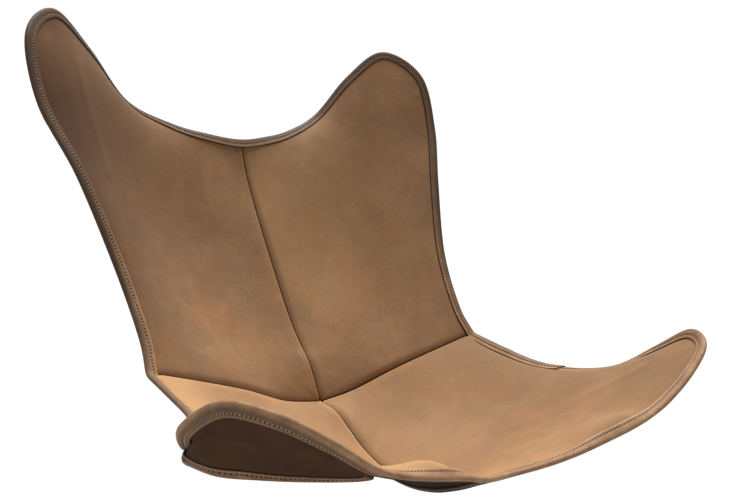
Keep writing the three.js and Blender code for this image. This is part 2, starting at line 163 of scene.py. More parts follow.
# %% [markdown]
# ## Edges and seams
# Each half of the sling has an edge that runs from the middle round its wing to the waist. The back
# edge climbs to the upper wing, and the seat edge goes out to the lower one. The seams start where
# all three cross. Points are shares of the reaches above, so a longer reach stretches the curve.

# %% Edges and seams of the left half
back_edge_points = REAR_REACH * [
    [0, 0.857, 0.677], [0.146, 0.88, 0.688], [0.305, 0.93, 0.711], [0.495, 0.994, 0.769],
    [0.667, 0.991, 0.906], [0.836, 0.939, 1], [0.984, 0.784, 0.933], [0.984, 0.629, 0.764],
    [0.891, 0.444, 0.592], [0.81, 0.246, 0.383], [0.781, 0.058, 0.231],
]
seat_edge_points = FRONT_REACH * [
    [0, 0.897, 0.203], [0.14, 0.945, 0.282], [0.285, 0.989, 0.395], [0.447, 1, 0.48],
    [0.604, 0.995, 0.593], [0.746, 0.989, 0.802], [0.886, 0.943, 0.983], [0.976, 0.833, 1],
    [0.998, 0.7, 0.757], [0.928, 0.595, 0.52], [0.833, 0.481, 0.435], [0.763, 0.355, 0.429],
    [0.744, 0.206, 0.458],
]
crossing = np.zeros(3)
top_centre = back_edge_points[0]
front_centre = seat_edge_points[0]
waist_seam = smooth([
    crossing,
    *(WAIST_END * [[0.213, -0.17, 0.102], [0.466, 0.33, 0.443], [0.728, 0.67, 0.727], [1, 1, 1]]),
])
back_seam = smooth([
    crossing,
    *(top_centre * [
        [0, 0.123, 0.133], [0, 0.222, 0.197], [0, 0.334, 0.277], [0, 0.509, 0.437],
        [0, 0.713, 0.64], [0, 0.894, 0.837], [0, 1, 1],
    ]),
])
seat_seam = smooth([
    crossing,
    *(np.array([0, front_centre[1], SEAT_DROP]) * [
        [0, 0.105, -0.06], [0, 0.2, -0.42], [0, 0.286, -0.75], [0, 0.408, -1],
        [0, 0.548, -1], [0, 0.676, -0.75], [0, 0.79, -0.31], [0, 0.893, 0.21],
    ]),
    front_centre,
])
back_edge = from_middle([*back_edge_points, WAIST_END])
seat_edge = from_middle([*seat_edge_points, WAIST_END])
for name, line in (("back edge", back_edge), ("seat edge", seat_edge), ("waist", waist_seam)):
    print(name, round(travelled(line)[-1]), "mm on one side")

# %% [markdown]
# ## Stretched skins
# Leather pulled over four corners settles into the surface whose every point lies midway between
# its neighbours. A grid is laid between four edges and each inner point is moved there again and
# again. The grid starts coarse and is doubled, because a coarse grid settles in few passes.

# %% A skin between four edges
SETTLING_PASSES = 240


def doubled(grid):
    """The grid with a new point midway between every two neighbours, both ways."""
    for _ in range(2):
        finer = np.empty((2 * len(grid) - 1, *grid.shape[1:]))
        finer[::2] = grid
        finer[1::2] = (grid[1:] + grid[:-1]) / 2
        grid = finer.swapaxes(0, 1)
    return grid


def skin(edges, doublings):
    """Stretched skin between its bottom, top, left and right edges: it starts as the two ruled
    surfaces between opposite edges, added, less the bilinear one between the corners, and each
    inner point then takes the mean of its four neighbours until the grid rests."""
    grid = None
    for step in 2 ** np.arange(doublings, -1, -1):
        bottom, top, left, right = (edge[::step] for edge in edges)
        if grid is None:
            u = np.linspace(0, 1, len(bottom))[:, None, None]
            v = np.linspace(0, 1, len(left))[None, :, None]
            ruled = (1 - u) * left + u * right + (1 - v) * bottom[:, None] + v * top[:, None]
            low = (1 - u) * bottom[0] + u * bottom[-1]
            high = (1 - u) * top[0] + u * top[-1]
            grid = ruled - (1 - v) * low - v * high
        else:
            grid = doubled(grid)
        grid[:, 0], grid[:, -1] = bottom, top
        grid[0, 1:-1], grid[-1, 1:-1] = left[1:-1], right[1:-1]
        for _ in range(SETTLING_PASSES):
            inner = grid[:-2, 1:-1] + grid[2:, 1:-1] + grid[1:-1, :-2] + grid[1:-1, 2:]
            grid[1:-1, 1:-1] = inner / 4
    return grid


def quads(numbers):
    """Faces of a grid of point numbers: each joins two neighbours of a row to the two beside."""
    n = numbers
    return np.stack([n[:-1, :-1], n[1:, :-1], n[1:, 1:], n[:-1, 1:]], axis=-1).reshape(-1, 4)


def numbered(rows, columns, first=0):
    """A grid of point numbers, counted along each row."""
    return first + np.arange(rows * columns).reshape(rows, columns)


def point_normals(points, faces):
    """Unit normals at points: the sum of the cross products of the diagonals of the faces there."""
    a, b, c, d = (points[faces[:, k]] for k in range(4))
    across = np.cross(c - a, d - b)
    normals = np.zeros_like(points)
    for k in range(4):
        np.add.at(normals, faces[:, k], across)
    return unit(normals)


# %% [markdown]
# ## Facings and frames
# Strips, pockets and stitches need to know, at each point of an edge or seam, which way the leather
# faces and which way leads inwards. A coarse skin gives the facing, and averaging it with its
# neighbours round the outline keeps the strips from twisting at the wing tips.

# %% Half panels and the frames along their lines
CROSS_STEPS = 12
STEP_GRADING = 1.35
FACING_PASSES = 3
DOUBLINGS = 3
FINE = 2**DOUBLINGS
ACROSS = CROSS_STEPS * FINE
LIP_RISE = 16
LIP_REACH = 30
LIP_SHARES = (0.17, 0.53)
RIM_TILT = math.radians(32)
RIM_SHARES = [0.27, 0.4, 0.5, 0.62, 0.72, 0.8, 0.94, 1]
RIM_CURL = [0, 0.6, 0.95, 0.95, 0.6, 1, 1, 0.5]


def graded(count):
    """Shares from 0 to 1 whose steps grow shorter towards 1."""
    return 1 - (1 - np.linspace(0, 1, count + 1)) ** STEP_GRADING


def part_way(values, start, end):
    """How far values have come from a start to an end: 0 before the start, 1 past the end."""
    return np.clip((values - start) / (end - start), 0, 1)


def ring_places(across, up):
    """Grid places once round a half panel: along the edge to the tip, on to the waist, back along
    the waist seam, then up the centre seam."""
    i = [np.arange(across), np.full(up, across), np.arange(across, 0, -1), np.zeros(up, int)]
    j = [np.full(across, up), np.arange(up, 0, -1), np.zeros(across, int), np.arange(up)]
    return np.concatenate(i), np.concatenate(j)


def edge_shares(half, finer=1):
    """Shares of the edge's length at its stations: out to the wing tip, then on to the waist."""
    to_tip = graded(CROSS_STEPS * finer) * half["tip"]
    to_waist = 1 - graded(half["steps"] * finer)[::-1] * (1 - half["tip"])
    return np.append(to_tip, to_waist[1:])


def lip(share, from_edge):
    """Lift of the seat's rolled front lip: a bump that peaks LIP_REACH from the edge, as
    (r e^(1-r))^2 of the distance r, and swells between the middle and the wing."""
    r = from_edge / LIP_REACH
    return LIP_RISE * np.sin(np.pi * part_way(share, *LIP_SHARES)) ** 2 * (r * np.exp(1 - r)) ** 2


def facings(half):
    """Facing directions once round the outline, FINE of them to each coarse step."""
    steps = half["steps"]
    edge = at_shares(half["edge"], edge_shares(half))
    waist = at_shares(waist_seam, graded(CROSS_STEPS))
    centre = at_shares(half["seam"], graded(steps))
    rough = skin([waist, edge[: CROSS_STEPS + 1], centre, edge[CROSS_STEPS:][::-1]], 0)
    numbers = numbered(CROSS_STEPS + 1, steps + 1)
    normals = half["side"] * point_normals(rough.reshape(-1, 3), quads(numbers))
    ups = normals[numbers[ring_places(CROSS_STEPS, steps)]]
    for _ in range(FACING_PASSES):
        ups = unit(2 * ups + np.roll(ups, 1, axis=0) + np.roll(ups, -1, axis=0))
    closed = np.vstack([ups, ups[:1]])
    return unit(filled(np.arange(len(ups) * FINE + 1) / FINE, np.arange(len(closed)), closed))


def with_lines(half):
    """The half with its three lines, each with the shares and facings at its stations and the sign
    that turns its direction crossed with its facing inwards. It also notes the stations of the
    outline where the waist seam and the centre seam begin."""
    ups = facings(half)
    waist = ACROSS + half["steps"] * FINE
    centre = waist + ACROSS
    lines = {
        "edge": (half["edge"], edge_shares(half, FINE), ups[: waist + 1], half["side"]),
        "waist": (waist_seam, graded(ACROSS), ups[waist : centre + 1][::-1], -half["side"]),
        "centre": (half["seam"], graded(half["steps"] * FINE), ups[centre:], half["side"]),
    }
    return {**half, "lines": lines, "waist": waist, "centre": centre}


def frames_at(half, name, lengths, rolled=True):
    """Points of a line at the given lengths, with the ways along, inwards and up. The seat's side
    edges curl up, which tips the way inwards down, and the rolled lip tips it up."""
    line, shares, ups, sign = half["lines"][name]
    whole = travelled(line)[-1]
    along = unit(at_lengths(line, lengths + 1) - at_lengths(line, lengths - 1))
    up = filled(lengths, shares * whole, ups)
    inward = sign * unit(np.cross(along, up))
    if name == "edge" and half["lip"]:
        tilt = RIM_TILT * np.interp(lengths / whole, RIM_SHARES, RIM_CURL)[:, None]
        inward = inward * np.cos(tilt) - up * np.sin(tilt)
        if rolled:
            lift = lip(lengths / whole / half["tip"], BINDING_WIDTH)
            inward = unit(inward * BINDING_WIDTH + lift[:, None] * [0, 0, 1])
    up = sign * unit(np.cross(inward, along))
    return {"points": at_lengths(line, lengths), "along": along, "inward": inward, "up": up}


back_half = with_lines({
    "edge": back_edge, "seam": back_seam, "steps": 14, "tip": 0.44, "side": 1, "lip": False,
})
seat_half = with_lines({
    "edge": seat_edge, "seam": seat_seam, "steps": 11, "tip": 0.545, "side": -1, "lip": True,
})
print("stations round a back panel:", back_half["centre"] + len(back_half["lines"]["centre"][1]))

# %% [markdown]
# ## Half panels
# A panel is a stretched skin inside, and a flat band round it where strips and seam tapes lie. The
# skin's edges are the panel's own lines moved inwards, and each is cut short where the next one
# crosses it. The skin then dishes away from the sitter, deepest in its middle, because leather that
# has been sat in stays full.

# %% Grids of the back and seat panels
FULLNESS = 30
BAND_SHARES = np.array([0, 0.05, 0.1, 0.16, 0.23, 0.32, 0.45, 0.6, 0.8])
BAND_WIDTHS = {"edge": BINDING_WIDTH, "waist": TAPE_WIDTH / 2, "centre": TAPE_WIDTH / 2}
CORNERS = (  # which end of which line meets which: 0 for its start, 1 for its end
    (("edge", 0), ("centre", 1)), (("edge", 1), ("waist", 1)), (("waist", 0), ("centre", 0)),
)


def corner_trims(first, second):
    """Lengths to cut off two insets where they meet. Each is given as the way along it from the
    corner, the way inwards and the width: a step in and a run along either reach one point."""
    (away_a, inward_a, width_a), (away_b, inward_b, width_b) = first, second
    gap = width_b * inward_b - width_a * inward_a
    return np.linalg.lstsq(np.stack([away_a, -away_b], axis=1), gap, rcond=None)[0]


def inset_lines(half):
    """The three lines of a half panel, moved inwards by the band's widths and cut where they
    cross, at the panel's own stations."""
    ends = {}
    for name, width in BAND_WIDTHS.items():
        whole = travelled(half["lines"][name][0])[-1]
        at = frames_at(half, name, np.array([0, whole]), rolled=False)
        (start, end), (start_in, end_in) = at["along"], at["inward"]
        ends[name] = [(start, start_in, width), (-end, end_in, width)]
    trims, lines = {name: [0, 0] for name in BAND_WIDTHS}, {}
    for (a, i), (b, j) in CORNERS:
        trims[a][i], trims[b][j] = corner_trims(ends[a][i], ends[b][j])
    for name, (start, end) in trims.items():
        line, shares, _, _ = half["lines"][name]
        lengths = start + shares * (travelled(line)[-1] - start - end)
        at = frames_at(half, name, lengths, rolled=False)
        lines[name] = at["points"] + at["inward"] * BAND_WIDTHS[name]
    return lines


def panel_grid(half):
    """Inner grid of a half panel: a skin between its inset lines, dished by the product of two
    half sine waves and, on the seat, lifted by the rolled lip."""
    lines = inset_lines(half)
    to_tip, to_waist = lines["edge"][: ACROSS + 1], lines["edge"][ACROSS:][::-1]
    grid = skin([lines["waist"], to_tip, lines["centre"], to_waist], DOUBLINGS)
    faces = quads(numbered(*grid.shape[:2]))
    normals = half["side"] * point_normals(grid.reshape(-1, 3), faces).reshape(grid.shape)
    u, v = graded(ACROSS)[:, None], graded(half["steps"] * FINE)[None, :]
    steps = np.linalg.norm(np.diff(grid, axis=1), axis=-1)[:, ::-1]
    from_edge = BINDING_WIDTH + np.insert(np.cumsum(steps, axis=1), 0, 0, axis=1)[:, ::-1]
    grid = grid - (FULLNESS * np.sin(np.pi * u) * np.sin(np.pi * v))[..., None] * normals
    if half["lip"]:
        grid[..., 2] += lip(u, from_edge)
    return grid


def outline_of(half):
    """The half panel's outline at its stations, once round."""
    at = {name: at_shares(*line[:2]) for name, line in half["lines"].items()}
    return np.vstack([at["edge"][:-1], at["waist"][:0:-1], at["centre"][:-1]])


def panel_surface(half):
    """Points and faces of a half panel: its inner grid, then the band round it, row by row from
    the outline inwards."""
    grid, outline = panel_grid(half), outline_of(half)
    places = ring_places(ACROSS, half["steps"] * FINE)
    band = outline[:, None] + BAND_SHARES[:, None] * (grid[places] - outline)[:, None]
    numbers = numbered(*grid.shape[:2])
    band_numbers = numbered(*band.shape[:2], first=numbers.size)
    closed = np.column_stack([band_numbers, numbers[places]])
    closed = np.vstack([closed, closed[:1]])
    faces = np.vstack([quads(numbers), quads(closed[:, ::-1])])
    return {
        "points": np.vstack([grid.reshape(-1, 3), band.reshape(-1, 3)]),
        "faces": faces[:, :: half["side"]],
        "outline": band_numbers[:, 0],
        "band": band_numbers,
    }


back_surface = panel_surface(back_half)
seat_surface = panel_surface(seat_half)
print("points in a panel:", len(back_surface["points"]), len(seat_surface["points"]))

# %% [markdown]
# ## From surface to leather
# A sheet of leather is its surface twice, once lifted by its relief and once sunk by its thickness,
# with a rim of faces between. Blender's own call puts the points and faces into a mesh, and a check
# on the enclosed volume turns the faces round first if they point inwards.

# %% Mesh helpers
SHARP_ANGLE = math.radians(42)


def enclosed(points, faces):
    """Volume inside a closed mesh of quads, by the divergence theorem on both their triangles."""
    a, b, c, d = (points[faces[:, k]] for k in range(4))
    return np.einsum("ij,ij->", a, np.cross(b, c) + np.cross(c, d)) / 6


def add_piece(name, points, faces, materials, lower_faces=0, values=None, uv=None, node=None):
    """Object from points in millimetres and quads, with its place in its mesh and its faces
    pointing out. The last lower_faces of the quads take the second material. It stands in for the
    solid model's node, if one is named."""
    if enclosed(points, faces) < 0:
        faces = faces[:, ::-1]
    mesh = bpy.data.meshes.new(name)
    mesh.from_pydata(in_frame(points), [], faces, shade_flat=False)
    for material in materials:
        mesh.materials.append(material)
    second = np.arange(len(faces)) >= len(faces) - lower_faces
    mesh.polygons.foreach_set("material_index", second.astype(np.int32))
    mesh.set_sharp_from_angle(angle=SHARP_ANGLE)
    for key, value in (values or {}).items():
        attribute = mesh.attributes.new(key, "FLOAT", "POINT")
        attribute.data.foreach_set("value", value.astype(np.float32))
    if uv is not None:
        layer = mesh.uv_layers.new(name="strip")
        layer.data.foreach_set("uv", uv[faces.ravel()].astype(np.float32).ravel())
    piece = bpy.data.objects.new(name, mesh)
    bpy.context.scene.collection.objects.link(piece)
    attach(piece, "root")
    if node:
        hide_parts(node)
    return piece


def add_sheet(node, upper, lower, faces, rim, sign, materials, values=None):
    """A sheet of leather: its upper and lower layers, joined by faces along the rim, and mirrored
    for the right side. A second material goes on the lower layer."""
    count, after = len(upper), np.roll(rim, -1)
    sides = np.column_stack([rim, after, after + count, rim + count])
    if ((faces == rim[1]) & (np.roll(faces, 1, axis=1) == rim[0])).any():
        sides = sides[:, ::-1]
    points = np.vstack([upper, lower])
    closed = np.vstack([faces, sides, faces[:, ::-1] + count])
    if sign < 0:
        points, closed = points * MIRROR, closed[:, ::-1]
    values = {key: np.tile(value, 2) for key, value in (values or {}).items()}
    lower_faces = len(faces) * (len(materials) - 1)
    return add_piece(
        f"{node}_leather", points, closed, materials, lower_faces, values, node=node
    )


def grid_rim(numbers):
    """Point numbers once round a grid's outline."""
    n = numbers
    return np.concatenate([n[:-1, 0], n[-1, :-1], n[:0:-1, -1], n[0, :0:-1]])


def bump(distance, width):
    """Bell curve of a distance: 1 at zero, fading over the width."""
    return np.exp(-((distance / width) ** 2))


def distance_to(points, line):
    """Distance from each point to the nearest point of a line."""
    return np.sqrt(((points[:, None] - line) ** 2).sum(-1)).min(1)


# %% [markdown]
# ## Leather, thread and colour
# Oiled nubuck is a soft brown that varies in patches the size of a hand. Noises of several sizes
# carry that: broad patches, clouds the size of a coin, fibres and the nap. Two numbers kept on each
# point say where painted light makes the leather paler and where painted shade makes it darker.

# %% Node helpers


def shade_of(colour, times=1, plus=0):
    """A colour given as screen values from 0 to 255, scaled and shifted, turned into linear light:
    a straight line near black, then a power of 2.4."""
    c = (np.array(colour) * times + plus) / 255
    return (*np.where(c < 0.04045, c / 12.92, ((c + 0.055) / 1.055) ** 2.4), 1.0)


def new_material(name):
    """An empty node material with the node tree to build in and its shader."""
    material = bpy.data.materials.new(name)
    material.use_nodes = True
    return material, material.node_tree, material.node_tree.nodes["Principled BSDF"]


def fill(tree, inputs, values):
    """Inputs of a node, by name or number, each linked to a socket or set to a plain value."""
    for key, value in values.items():
        if isinstance(value, bpy.types.NodeSocket):
            tree.links.new(value, inputs[key])
        else:
            inputs[key].default_value = value


def add_node(tree, kind, values, **settings):
    """The outputs of a new node, with its settings made and its inputs filled."""
    made = tree.nodes.new(f"ShaderNode{kind}")
    for key, value in settings.items():
        setattr(made, key, value)
    fill(tree, made.inputs, values)
    return made.outputs


def noise(tree, scale, detail, distortion=0.0, stretch=None):
    """A noise texture on object coordinates, stretched if asked."""
    place = add_node(tree, "TexCoord", {})["Object"]
    if stretch:
        place = add_node(tree, "Mapping", {"Vector": place, "Scale": stretch})["Vector"]
    values = {"Vector": place, "Scale": scale, "Detail": detail, "Distortion": distortion}
    return add_node(tree, "TexNoise", values)["Fac"]


def ramp(tree, source, stops):
    """Colours placed along a value from 0 to 1."""
    made = tree.nodes.new("ShaderNodeValToRGB")
    while len(made.color_ramp.elements) < len(stops):
        made.color_ramp.elements.new(0.5)
    for element, (place, colour) in zip(made.color_ramp.elements, stops):
        element.position, element.color = place, colour
    tree.links.new(source, made.inputs["Fac"])
    return made.outputs["Color"]


def mixed(tree, share, first, second, kind="MIX"):
    """Two colours mixed by a share."""
    values = {0: share, 6: first, 7: second}
    return add_node(tree, "Mix", values, data_type="RGBA", blend_type=kind)[2]


def maths(tree, operation, *values):
    """One sum on sockets or plain numbers."""
    return add_node(tree, "Math", dict(enumerate(values)), operation=operation)[0]


def between(tree, value, low, high):
    """A value kept between two limits."""
    return maths(tree, "MINIMUM", maths(tree, "MAXIMUM", value, low), high)


def grown(tree, value, start, end):
    """How far a value has come from a start to an end: its difference divided by theirs."""
    gone = maths(tree, "SUBTRACT", value, start)
    return between(tree, maths(tree, "DIVIDE", gone, end - start), 0, 1)


def on_points(tree, key):
    """The value that each point of the mesh holds under a key."""
    return add_node(tree, "Attribute", {}, attribute_name=key)["Fac"]


def speckled(tree, colour, grain, low, high, share):
    """A colour multiplied by the greys of a fine grain."""
    greys = ramp(tree, grain, [(0.3, (low, low, low, 1)), (0.7, (high, high, high, 1))])
    return mixed(tree, share, colour, greys, "MULTIPLY")


def rough_relief(tree, shader, layers):
    """Bumps in a row, each a height, its strength and its depth in metres."""
    last = {}
    for height, strength, depth in layers:
        values = {"Height": height, "Strength": strength, "Distance": depth, **last}
        last = {"Normal": add_node(tree, "Bump", values)["Normal"]}
    fill(tree, shader.inputs, last)


print("mid grey on the screen, in linear light:", round(shade_of((128, 128, 128))[0], 3))

# %% Leather finishes
NUBUCK_NOISES = {  # scale, detail and distortion
    "patches": (7, 3, 0.6), "clouds": (34, 4, 0.8), "fibres": (240, 5, 0.4), "nap": (620, 2),
    "warmth": (16, 2, 0.3),
}
PATCHES_TO_CLOUDS = (0.62, 0.38)
WARM_TO_COOL = [(0.4, (1.05, 0.98, 0.93, 1)), (0.6, (0.97, 1.0, 1.02, 1))]
WARMTH = 0.8
NUBUCK_SPECKLE = (0.86, 1.12, 0.55)  # dark and light grey, and their share
NUBUCK_RELIEF = {"clouds": (0.35, 0.0012), "fibres": (0.3, 0.0005), "nap": (0.25, 0.00025)}
# tints for painted light and painted shade
PAINTED_LIGHT_TINT = {"times": 1.16, "plus": (8, 8, 0)}
PAINTED_SHADE_TINT = {"times": (0.55, 0.48, 0.42)}
WEAR = 0.16


def nubuck(name, dark, middle, light, roughness, sheen=0, shine=0.14):
    """Oiled nubuck: patches and clouds added give its three browns, fibres and warmth multiply
    them, and it is mixed paler by painted light and darker by painted shade, as its points say."""
    material, tree, shader = new_material(name)
    look = {key: noise(tree, *values) for key, values in NUBUCK_NOISES.items()}
    grounds = zip((look["patches"], look["clouds"]), PATCHES_TO_CLOUDS)
    ground = maths(tree, "ADD", *(maths(tree, "MULTIPLY", *ground) for ground in grounds))
    stops = [(0.36, shade_of(dark)), (0.5, shade_of(middle)), (0.64, shade_of(light))]
    colour = speckled(tree, ramp(tree, ground, stops), look["fibres"], *NUBUCK_SPECKLE)
    warm = ramp(tree, look["warmth"], WARM_TO_COOL)
    colour = mixed(tree, WARMTH, colour, warm, "MULTIPLY")
    # painted light, then painted shade, from the values on the points
    colour = mixed(tree, on_points(tree, "painted_light"), colour, shade_of(light, **PAINTED_LIGHT_TINT))
    colour = mixed(tree, on_points(tree, "shade"), colour, shade_of(dark, **PAINTED_SHADE_TINT))
    wear = maths(tree, "MULTIPLY", look["clouds"], WEAR)
    fill(tree, shader.inputs, {
        "Base Color": colour, "Roughness": maths(tree, "ADD", wear, roughness - WEAR / 2),
        "Sheen Weight": sheen, "Sheen Roughness": 0.4, "Specular IOR Level": shine,
    })
    rough_relief(tree, shader, [(look[key], *sizes) for key, sizes in NUBUCK_RELIEF.items()])
    return material


STITCH_PITCH = 5.0
EDGE_ROW = 8.0
HEM_ROW = 0.62 * HEM_WIDTH
HOLE_RADIUS = 1.5
HOLE_RIM = 0.6
# painted highlight on the raised lip just inside the cut edge
LIP_HIGHLIGHT_LINE = 1.7
LIP_HIGHLIGHT_WIDTH = 1.4
# the cut edge is dark from burnishing and from painted contact shadow
CUT_FROM = 0.3
CUT_GROWTH = 3
CUT_DARK = 0.92
FOLD_SIDE = 6
STRIP_SPECKLE = (0.84, 1.14, 0.6)
# painted shade in the needle holes
HOLE_SHADE_BROWN = (24, 16, 11)
CUT_BROWN = (26, 17, 12)
DARKEST = 0.95


def strip_leather(name, dark, middle, light, row, cut_edge):
    """Leather of a sewn strip: a painted highlight on the raised lip beside its cut inner edge,
    dark on that edge, which is burnished and also carries painted contact shadow, painted shade in
    a needle hole between every two stitches, and painted shade from the values on its points, most
    beside the fold. Its own map holds the length along it and the distance from its fold."""
    material, tree, shader = new_material(name)
    clouds, fibres = noise(tree, 46, 4, 0.6), noise(tree, 300, 4, 0.3)
    stops = [(0.3, shade_of(dark)), (0.5, shade_of(middle)), (0.72, shade_of(light))]
    colour = speckled(tree, ramp(tree, clouds, stops), fibres, *STRIP_SPECKLE)
    place = add_node(tree, "UVMap", {}, uv_map="strip")["UV"]
    along, across, _ = add_node(tree, "SeparateXYZ", {0: place})
    phase = maths(tree, "FRACT", maths(tree, "DIVIDE", along, STITCH_PITCH))
    step = maths(tree, "MULTIPLY", maths(tree, "SUBTRACT", phase, 0.5), STITCH_PITCH)
    aside = maths(tree, "SUBTRACT", across, row)
    squares = [maths(tree, "POWER", way, 2) for way in (step, aside)]
    from_hole = maths(tree, "SQRT", maths(tree, "ADD", *squares))
    # painted shade in a needle hole between every two stitches; its bump also sinks the hole
    hole = grown(tree, from_hole, HOLE_RADIUS, HOLE_RADIUS - HOLE_RIM)
    from_lip_highlight = maths(tree, "ABSOLUTE", maths(tree, "SUBTRACT", across, cut_edge - LIP_HIGHLIGHT_LINE))
    lip_highlight = grown(tree, from_lip_highlight, LIP_HIGHLIGHT_WIDTH, 0)
    # dark cut edge: burnished, and painted contact shadow
    past_cut = maths(tree, "SUBTRACT", across, cut_edge - CUT_FROM)
    cut = between(tree, maths(tree, "MULTIPLY", past_cut, CUT_GROWTH), 0, CUT_DARK)
    # painted shade from the values on the points, most beside the fold
    by_fold = maths(tree, "MULTIPLY", grown(tree, across, FOLD_SIDE, 0), 0.5)
    painted_shade = maths(tree, "MULTIPLY", on_points(tree, "shade"), maths(tree, "ADD", by_fold, 0.85))
    for share, paint in (
        (maths(tree, "MULTIPLY", lip_highlight, 0.45), shade_of(light, 1.22)),
        (between(tree, painted_shade, 0, DARKEST), shade_of(dark, 0.55)),
        (maths(tree, "MULTIPLY", hole, 0.88), shade_of(HOLE_SHADE_BROWN)),
        (cut, shade_of(CUT_BROWN)),
    ):
        colour = mixed(tree, share, colour, paint)
    fill(tree, shader.inputs, {"Base Color": colour, "Roughness": 0.66, "Specular IOR Level": 0.22})
    layers = [(hole, 0.6, -0.0012), (clouds, 0.3, 0.0008), (fibres, 0.35, 0.0004)]
    rough_relief(tree, shader, layers)
    return material


def waxed_thread(name, colour):
    """Waxed thread, twisted: fine diagonal ridges and a soft shine."""
    material, tree, shader = new_material(name)
    twist = noise(tree, 900, 2, 0, (1.0, 1.6, 0.8))
    tones = ramp(tree, twist, [(0.3, shade_of(colour, 0.7)), (0.7, shade_of(colour, 1.15))])
    fill(tree, shader.inputs, {"Base Color": tones, "Roughness": 0.5})
    rough_relief(tree, shader, [(twist, 0.4, 0.0003)])
    return material


panel_leather = nubuck("panel_leather", (136, 103, 72), (146, 111, 78), (157, 120, 85), 0.78, 0.05)
# the flesh side and the pockets have their own darker brown, made darker still as painted shade
# under the sling
flesh_side = nubuck("flesh_side", (28, 20, 14), (36, 25, 18), (45, 32, 23), 0.92, shine=0.05)
pocket_leather = nubuck("pocket_leather", (54, 37, 26), (64, 45, 32), (74, 52, 37), 0.9, shine=0.07)
tape_leather = nubuck("tape_leather", (60, 44, 32), (76, 56, 42), (94, 71, 54), 0.85)
binding_browns = (130, 98, 69), (145, 110, 79), (160, 124, 91)
binding_leather = strip_leather("binding_leather", *binding_browns, EDGE_ROW, BINDING_WIDTH)
hem_browns = (98, 71, 50), (118, 87, 62), (138, 104, 76)
hem_leather = strip_leather("hem_leather", *hem_browns, HEM_ROW, HEM_WIDTH)
edge_thread = waxed_thread("edge_thread", (172, 138, 104))
dark_thread = waxed_thread("dark_thread", (132, 104, 80))
print("materials:", len(bpy.data.materials))

# %% [markdown]
# ## The four panels
# Left and right panels are mirror images except at the seams. The centre seam was pressed to one
# side, so the right panel's edge stands up as a rounded welt with a painted highlight on it, and
# the left one dips beside it, with painted shade in the dip. At the waist the seat's edge stands up
# and the back's dips, painted the same way. A faint ridge shows where leather breaks over the
# frame, on the back's right half and on the seat's left one, with a painted highlight along it.
# Painted light brightens the seat, its lip and the middle of the back's left half, and painted
# shade darkens the panels towards the wings and the sides, and along the back's rim.

# %% Relief, painted light and painted shade
WELT_HEIGHT = 1.5
WELT_FROM_SEAM = 2.4
WELT_WIDTH = 2.2
SEAM_DEPTH = 1.6
SEAM_WIDTH = 0.8
DIP_DEPTH = 2.2
DIP_WIDTH = 1.6
SLOPE_DEPTH = 1.2
SLOPE_WIDTH = 7
RELIEF_FROM_STRIP = 8
WING_REACH = 330
BACK_FOOT = 100
TIP_HEIGHTS = (430, 510)
# painted shade on each panel, most towards the wings and the sides
PAINTED_SHADE_PLACES = {  # at the side and its power, upwards, at high sides, off at the tips, full height
    "back_left": (0, 1, 0.04, 0.22, 0.2, 430), "back_right": (0.25, 1, 0.15, 0.5, 0.3, 370),
    "seat_left": (0.4, 1.2, 0, 0, 0, 430), "seat_right": (0, 1, 0, 0, 0, 430),
}
# painted light on the back, the seat and the seat's lip
PALE_BACK = 0.2
PALE_BACK_HEIGHTS = (90, 190), (430, 350)
PALE_SEAT = 0.14
PALE_LIP = {"left": 0.12, "right": 0.32}
LIP_FADES = 45
# painted shade towards the back panel's outline
RIM_SHADE = 0.1
RIM_FADES = 45
CREASES = {
    "back_right": [
        (293, 285, 480), (291, 262, 440), (288, 240, 405), (283, 218, 367), (279, 190, 330),
    ],
    "seat_left": [
        (335, -339, 135), (293, -320, 103), (247, -295, 73), (199, -272, 45), (150, -248, 15),
    ],
}
CREASE_HEIGHT = 1.2
CREASE_WIDTH = 9
# width of the painted highlight along a crease
CREASE_HIGHLIGHT_WIDTH = 5
SEAT_CREASE_FADES = (144.5, 59.5)
# a painted highlight lies round this point near the wing tip
WING_PATCH = np.array([345, 283, 515])
WING_PATCH_WIDTH = 14


def welt(distance):
    """Pressed seam edge: a rounded ridge a little way in, falling to the seam itself."""
    ridge = WELT_HEIGHT * bump(distance - WELT_FROM_SEAM, WELT_WIDTH)
    return ridge - SEAM_DEPTH * bump(distance, SEAM_WIDTH)


def dip(distance):
    """The edge beside a welt: it falls away into the seam over a few millimetres."""
    return -DIP_DEPTH * bump(distance, DIP_WIDTH) - SLOPE_DEPTH * bump(distance, SLOPE_WIDTH)


def painted_shade_at(panel, points):
    """Painted shade: a power of the distance to the side, and a part that grows with height, most
    at the sides, less a part at the wing tips."""
    sideways, power, upwards, high_side, tip, full = PAINTED_SHADE_PLACES[panel]
    side = part_way(np.abs(points[:, 0]), 0, WING_REACH)
    rise = part_way(points[:, 2], BACK_FOOT, full)
    tips = part_way(points[:, 2], *TIP_HEIGHTS)
    return sideways * side**power + rise * (upwards + high_side * side**1.6) - tip * tips


def seam_relief(surface, half, name, shape):
    """Height of a half panel's band beside one of its seams, and nothing elsewhere."""
    rows = np.arange(half["waist"], half["centre"] + 1)
    if name == "centre":
        rows = np.append(np.arange(half["centre"], len(surface["band"])), 0)
    heights = np.zeros(len(surface["points"]))
    heights[surface["band"][rows]] = shape(BAND_SHARES * TAPE_WIDTH / 2)
    return heights


